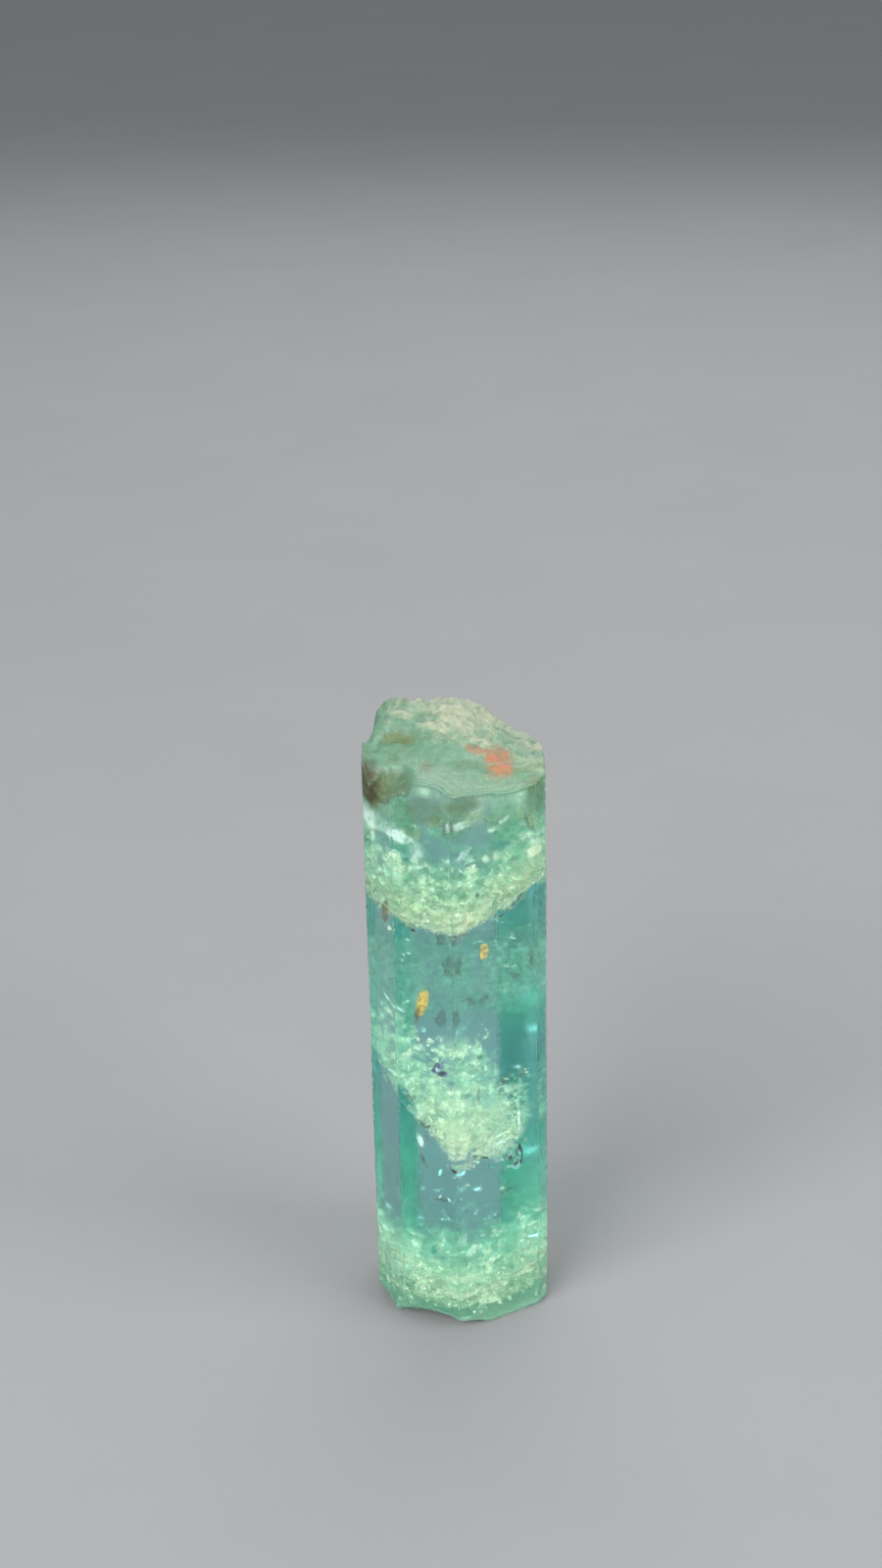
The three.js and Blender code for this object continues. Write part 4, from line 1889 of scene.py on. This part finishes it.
    def build(self) -> None:
        """Makes the pieces."""
        dense = Veil().material("healed_fracture")
        haze = {"patch": 700.0, "stretch": 1.8, "cover": 0.9}
        faint = Veil((0.24, 0.32, 0.25), (0.52, 0.62, 0.48), (0.12, 0.16, 0.10), soft=0.42, **haze)
        faint = faint.material("growth_haze")
        mist = Veil((0.26, 0.40, 0.24), (0.56, 0.72, 0.46), (0.18, 0.20, 0.08), soft=0.40, **haze)
        mist = mist.material("crown_mist")
        # white of the whitest sheets, partly painted glints of mirror-like cracks
        white = Veil((0.9, 1.0, 0.85), (1.0, 1.0, 1.0), patch=1800.0, soft=0.2, cover=0.8, plain=True)
        rind = Veil((0.82, 0.90, 0.64), (1.0, 1.0, 0.84), patch=2200.0, soft=0.15, cover=0.95, plain=True)
        grain = Veil((0.95, 0.90, 0.60), (1.0, 1.0, 0.82), patch=2200.0, soft=0.15, cover=0.9, plain=True)
        groups = {
            "crown_veils": (veiled(self.crown), dense),
            "crown_haze": (veiled(self.crown_haze), mist),
            "upper_cloud": (self.cloud(self.upper), dense),
            "middle_wisps": (veiled(self.middle), dense),
            "middle_haze": (veiled(self.middle_haze), faint),
            "lower_cloud": (self.cloud(self.lower), dense),
            "base_cloud": (self.cloud(self.base), dense),
            "cloud_rinds": (self.cloud(self.rinds), rind.material("rind_veil")),
            "cloud_grains": (self.cloud(self.grains), grain.material("cloud_grain")),
            "crown_rind": (self.crown_rind.veil(self.form), mist),
            "spark_flakes": (self.spark_flakes(), white.material("white_fracture_and_painted_glint")),
        }
        for name, (shell, finish) in groups.items():
            make_piece(name, shell, finish)


@dataclass
class Inclusions:
    """Coloured grains sealed in the crystal.

    Attributes:
        orange: iron stains, as stacked thin sheets.
        brown: darker iron stains.
        dark: dark mica plates.
        smoke: soft dark smudges.
        rim_shade_smears: soft olive patches just inside the faces under the rim, partly painted shade of the
            rim's underside.
        plate: thickness of a mica plate.
    """

    orange: tuple[Patch, ...] = (
        Flame((-1.70, -3.6, 20.7), (1.5, 0.62), (262, 12), 76, curl=0.1, seed=501),
        Flame((-1.60, -3.3, 20.5), (1.3, 0.5), (255, 10), 70, curl=0.1, seed=503),
        Flame((1.27, -3.83, 23.8), (0.85, 0.5), (285, 15), 80, curl=0.05, seed=505),
        Flame((1.20, -3.6, 23.6), (0.6, 0.4), (270, 15), 70, curl=0.05, seed=507),
    )
    brown: tuple[Patch, ...] = (
        Patch((-3.5, -2.5, 25.7), (1.1, 0.6), (215, 10), 80, curl=0.05, fullness=1.6, seed=511),
        Flame((-2.1, -3.9, 20.0), (0.9, 0.22), (260, 10), 80, seed=513),
    )
    dark: tuple[Patch, ...] = (
        Patch((-1.05, -4.45, 17.0), (0.55, 0.34), (258, 20), 50, curl=0.1, ragged=0.7, relief=0.2, seed=521),
        Patch((-0.75, -4.5, 16.6), (0.5, 0.26), (270, 40), 10, curl=0.1, ragged=0.7, relief=0.2, seed=522),
        Patch((-0.7, -4.4, 17.2), (0.35, 0.16), (250, 10), 80, curl=0.1, ragged=0.8, relief=0.1, seed=524),
    )
    smoke: tuple[Patch, ...] = (
        Smudge((-0.41, -4.7, 31.6), (1.1, 0.35), (265, 5), 88, seed=531),
        Smudge((3.83, -2.4, 30.8), (1.6, 0.45), (300, 10), -62, seed=532),
        Smudge((-0.54, -4.05, 24.8), (0.97, 0.78), (262, 20), 20, seed=534),
        Smudge((-0.25, -4.2, 23.4), (1.1, 0.59), (262, 20), 80, seed=535),
        Smudge((-0.3, -4.2, 22.8), (0.65, 0.49), (262, 20), 10, seed=536),
        Smudge((0.3, -3.85, 20.9), (1.1, 0.59), (280, 20), -20, seed=537),
        Smudge((1.1, -3.4, 20.7), (0.97, 0.68), (290, 20), 30, seed=538),
        Smudge((2.9, -2.35, 21.7), (1.3, 0.49), (300, 20), -30, seed=539),
        Smudge((3.8, -1.85, 22.3), (2.2, 0.39), (320, 10), 88, seed=540),
        Smudge((-0.6, -4.0, 19.8), (1.4, 1.2), (258, 10), 85, seed=541),
        Smudge((-2.5, -3.5, 14.6), (0.82, 0.59), (250, 20), 10, seed=542),
        Smudge((0.86, -4.1, 15.1), (1.7, 0.2), (285, 5), 88, seed=543),
        Smudge((-1.9, -3.9, 10.7), (1.1, 0.39), (255, 20), -65, seed=544),
        Smudge((-0.9, -4.45, 8.4), (1.4, 0.26), (265, 30), 0, seed=545),
        Smudge((2.4, -3.2, 8.2), (1.8, 0.26), (295, 30), 22, seed=546),
        Smudge((2.2, -3.2, 15.3), (1.4, 0.59), (290, 30), 10, seed=547),
        Smudge((3.3, -2.5, 15.5), (1.1, 0.49), (300, 30), 25, seed=548),
        Smudge((-1.6, -3.6, 12.9), (0.82, 0.31), (255, 30), -5, seed=549),
    )
    # Olive sheets just inside the front faces under the rim: partly an olive tint, partly painted shade of
    # the rim's underside.
    rim_shade_smears: tuple[Patch, ...] = (
        Smudge((3.9, -2.2, 31.0), (0.9, 1.7), (320, 10), 0, ragged=0.9, relief=0.15, fullness=1.3, seed=551),
        Smudge((3.4, -2.6, 31.6), (1.1, 1.1), (300, 10), -30, ragged=0.9, relief=0.15, seed=552),
        Smudge((-1.0, -4.3, 31.8), (1.6, 1.1), (250, 10), 10, ragged=0.9, relief=0.15, seed=553),
        Smudge((0.8, -4.3, 32.0), (1.6, 0.7), (282, 10), 12, ragged=0.9, relief=0.15, seed=554),
        Smudge((-1.9, -3.6, 31.0), (1.3, 1.2), (250, 10), 30, ragged=0.9, relief=0.15, fullness=1.0,
               seed=555),
        Smudge((1.8, -3.6, 31.6), (1.6, 0.6), (290, 10), 5, ragged=0.9, relief=0.15, fullness=1.0, seed=556),
    )
    plate: float = 0.06

    def build(self) -> None:
        """Makes the pieces."""
        rust = Veil((0.85, 0.40, 0.05), (1.0, 0.58, 0.15), (0.45, 0.18, 0.03), 1500.0, 3000.0, 0.35)
        umber = Veil((0.09, 0.05, 0.02), (0.20, 0.14, 0.06), (0.05, 0.03, 0.01), 1500.0, 3000.0, 0.2)
        dark = ((0.03, 0.05, 0.04), (0.10, 0.16, 0.13), (0.05, 0.05, 0.03))
        green = ((0.24, 0.34, 0.11), (0.42, 0.54, 0.25), (0.24, 0.22, 0.07))
        soot = Veil(*dark, 1100.0, 3000.0, 0.2, soft=0.35, cover=0.7)
        # colours of the olive sheets under the rim, which are partly painted shade
        moss = Veil(*green, 1100.0, 3000.0, 0.3, soft=0.4, cover=0.7)
        mica = Earth((0.15, 0.18, 0.26), (0.02, 0.024, 0.04), 0.3, 0.6)
        plates = joined([patch.plate(self.plate) for patch in self.dark])
        make_piece("iron_flames", veiled(self.orange), rust.material("rust_stain"))
        make_piece("brown_stains", veiled(self.brown), umber.material("umber_stain"))
        # olive sheets under the rim, partly painted shade of its underside
        make_piece("olive_rim_shade_smears", veiled(self.rim_shade_smears), moss.material("olive_rim_shade_sheet"))
        make_piece("dark_wisps", veiled(self.smoke), soot.material("dark_wisp"))
        make_piece("mica_flecks", plates, mica.material("dark_mica"))


# ---------------------------------------------------------------- studio


@dataclass(frozen=True)
class Lamp:
    """A soft square light: its name, place, what it looks at, its size and power."""

    name: str
    place: Triple
    aim: Triple
    size: float
    watts: float


@dataclass
class Studio:
    """Floor, lights and camera.

    Attributes:
        focal: focal length in pixels of a frame 1600 pixels high.
        frame_height: that frame's height in pixels.
        pitch: how far the camera looks down, in degrees.
        roll: how far it leans, in degrees.
        place: where it stands, in millimetres.
        lamps: the soft lights.
        sky: colour of the light from all round.
        sky_strength: how bright it is.
        floor_half: middle to side of the floor, in metres.
        floor_tones: the two close tones of the floor.
    """

    focal: float = 2500.0
    frame_height: float = 1600.0
    pitch: float = 22.8
    roll: float = -1.23
    place: Triple = (-0.68, -123.90, 84.12)
    lamps: tuple[Lamp, ...] = (
        Lamp("key", (-0.20, -0.26, 0.20), (0, 0, 0.018), 0.26, 4.2),
        Lamp("fill", (0.28, -0.16, 0.15), (0, 0, 0.018), 0.24, 2.6),
        Lamp("rear", (0.04, 0.26, 0.26), (0, 0, 0.018), 0.36, 1.2),
    )
    sky: Triple = (0.9, 0.95, 1.0)
    sky_strength: float = 0.8
    floor_half: float = 1.5
    floor_tones: tuple[Triple, Triple] = ((0.109, 0.110, 0.112), (0.124, 0.125, 0.127))

    def build(self) -> None:
        """Makes the floor, the lights, the sky and the camera."""
        self.floor()
        for lamp in self.lamps:
            self.light(lamp)
        world = bpy.data.worlds.new("studio")
        world.use_nodes = True
        background = world.node_tree.nodes["Background"]
        background.inputs["Color"].default_value = (*self.sky, 1)
        background.inputs["Strength"].default_value = self.sky_strength
        bpy.context.scene.world = world
        bpy.context.scene.view_settings.view_transform = "Standard"
        self.light_paths()
        self.camera()

    @staticmethod
    def light_paths() -> None:
        """Lets light go on through many veils and many reflections inside the crystal."""
        cycles = bpy.context.scene.cycles
        cycles.max_bounces = 24
        cycles.glossy_bounces = 16
        cycles.transmission_bounces = 24
        cycles.diffuse_bounces = 6
        cycles.transparent_max_bounces = 40

    def floor(self) -> None:
        """A plain, matt floor, pale grey under the lamps, level with the foot."""
        half = self.floor_half
        corners = [(-half, -half, 0), (half, -half, 0), (half, half, 0), (-half, half, 0)]
        mesh = bpy.data.meshes.new("floor")
        mesh.from_pydata(corners, [], [(0, 1, 2, 3)])
        g = Graph("floor")
        colour = g.tint(g.grain(40, 4.0), *self.floor_tones)
        mesh.materials.append(g.finish(g.principled({"Base Color": colour, "Roughness": 0.8})))
        floor = bpy.data.objects.new("floor", mesh)
        bpy.context.scene.collection.objects.link(floor)

    @staticmethod
    def light(lamp: Lamp) -> None:
        """One soft square light that looks at its aim.

        Args:
            lamp: the light.
        """
        data = bpy.data.lights.new(lamp.name, "AREA")
        data.shape = "SQUARE"
        data.size = lamp.size
        data.energy = lamp.watts
        light = bpy.data.objects.new(lamp.name, data)
        light.location = lamp.place
        way = Vector(lamp.aim) - Vector(lamp.place)
        light.rotation_euler = way.to_track_quat("-Z", "Y").to_euler()
        bpy.context.scene.collection.objects.link(light)

    def camera(self) -> None:
        """The camera, looking down along +Y and leaning a little."""
        data = bpy.data.cameras.new("camera")
        data.sensor_fit = "VERTICAL"
        data.sensor_height = 24.0
        data.lens = self.focal / self.frame_height * data.sensor_height
        data.clip_start = 0.001
        pitch, roll = np.radians(self.pitch), np.radians(self.roll)
        ahead = np.array([0, np.cos(pitch), -np.sin(pitch)])
        level = np.array([1.0, 0, 0])
        above = np.cross(level, ahead)
        right = level * np.cos(roll) + above * np.sin(roll)
        up = above * np.cos(roll) - level * np.sin(roll)
        turn = Matrix(np.stack([right, up, -ahead], axis=-1).tolist()).to_4x4()
        camera = bpy.data.objects.new("camera", data)
        camera.matrix_world = Matrix.Translation(Vector(self.place) * MM) @ turn
        bpy.context.scene.collection.objects.link(camera)
        bpy.context.scene.camera = camera


# ---------------------------------------------------------------- making it all


def main() -> None:
    """Builds the crystal, what is in it and the studio."""
    logging.basicConfig(level=logging.INFO, format="%(name)s %(message)s")
    low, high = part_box(NODE)
    form = CrystalForm(half_width=(high.x - low.x) / 2 / MM, height=high.z / MM)
    names = ["etch", "crust", "pale", "cream", "hollow", "rust", "umber", "olive", "crackle"]
    shell = joined([form.skin(), OpenFractures(form).hollows()], names)
    skin = make_piece("crystal_skin", shell, Emerald().material())
    skin.data.set_sharp_from_angle(angle=np.radians(CREASE))
    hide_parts(NODE)
    HealedFractures(form).build()
    Inclusions().build()
    Studio().build()


if __name__ == "__main__":
    main()
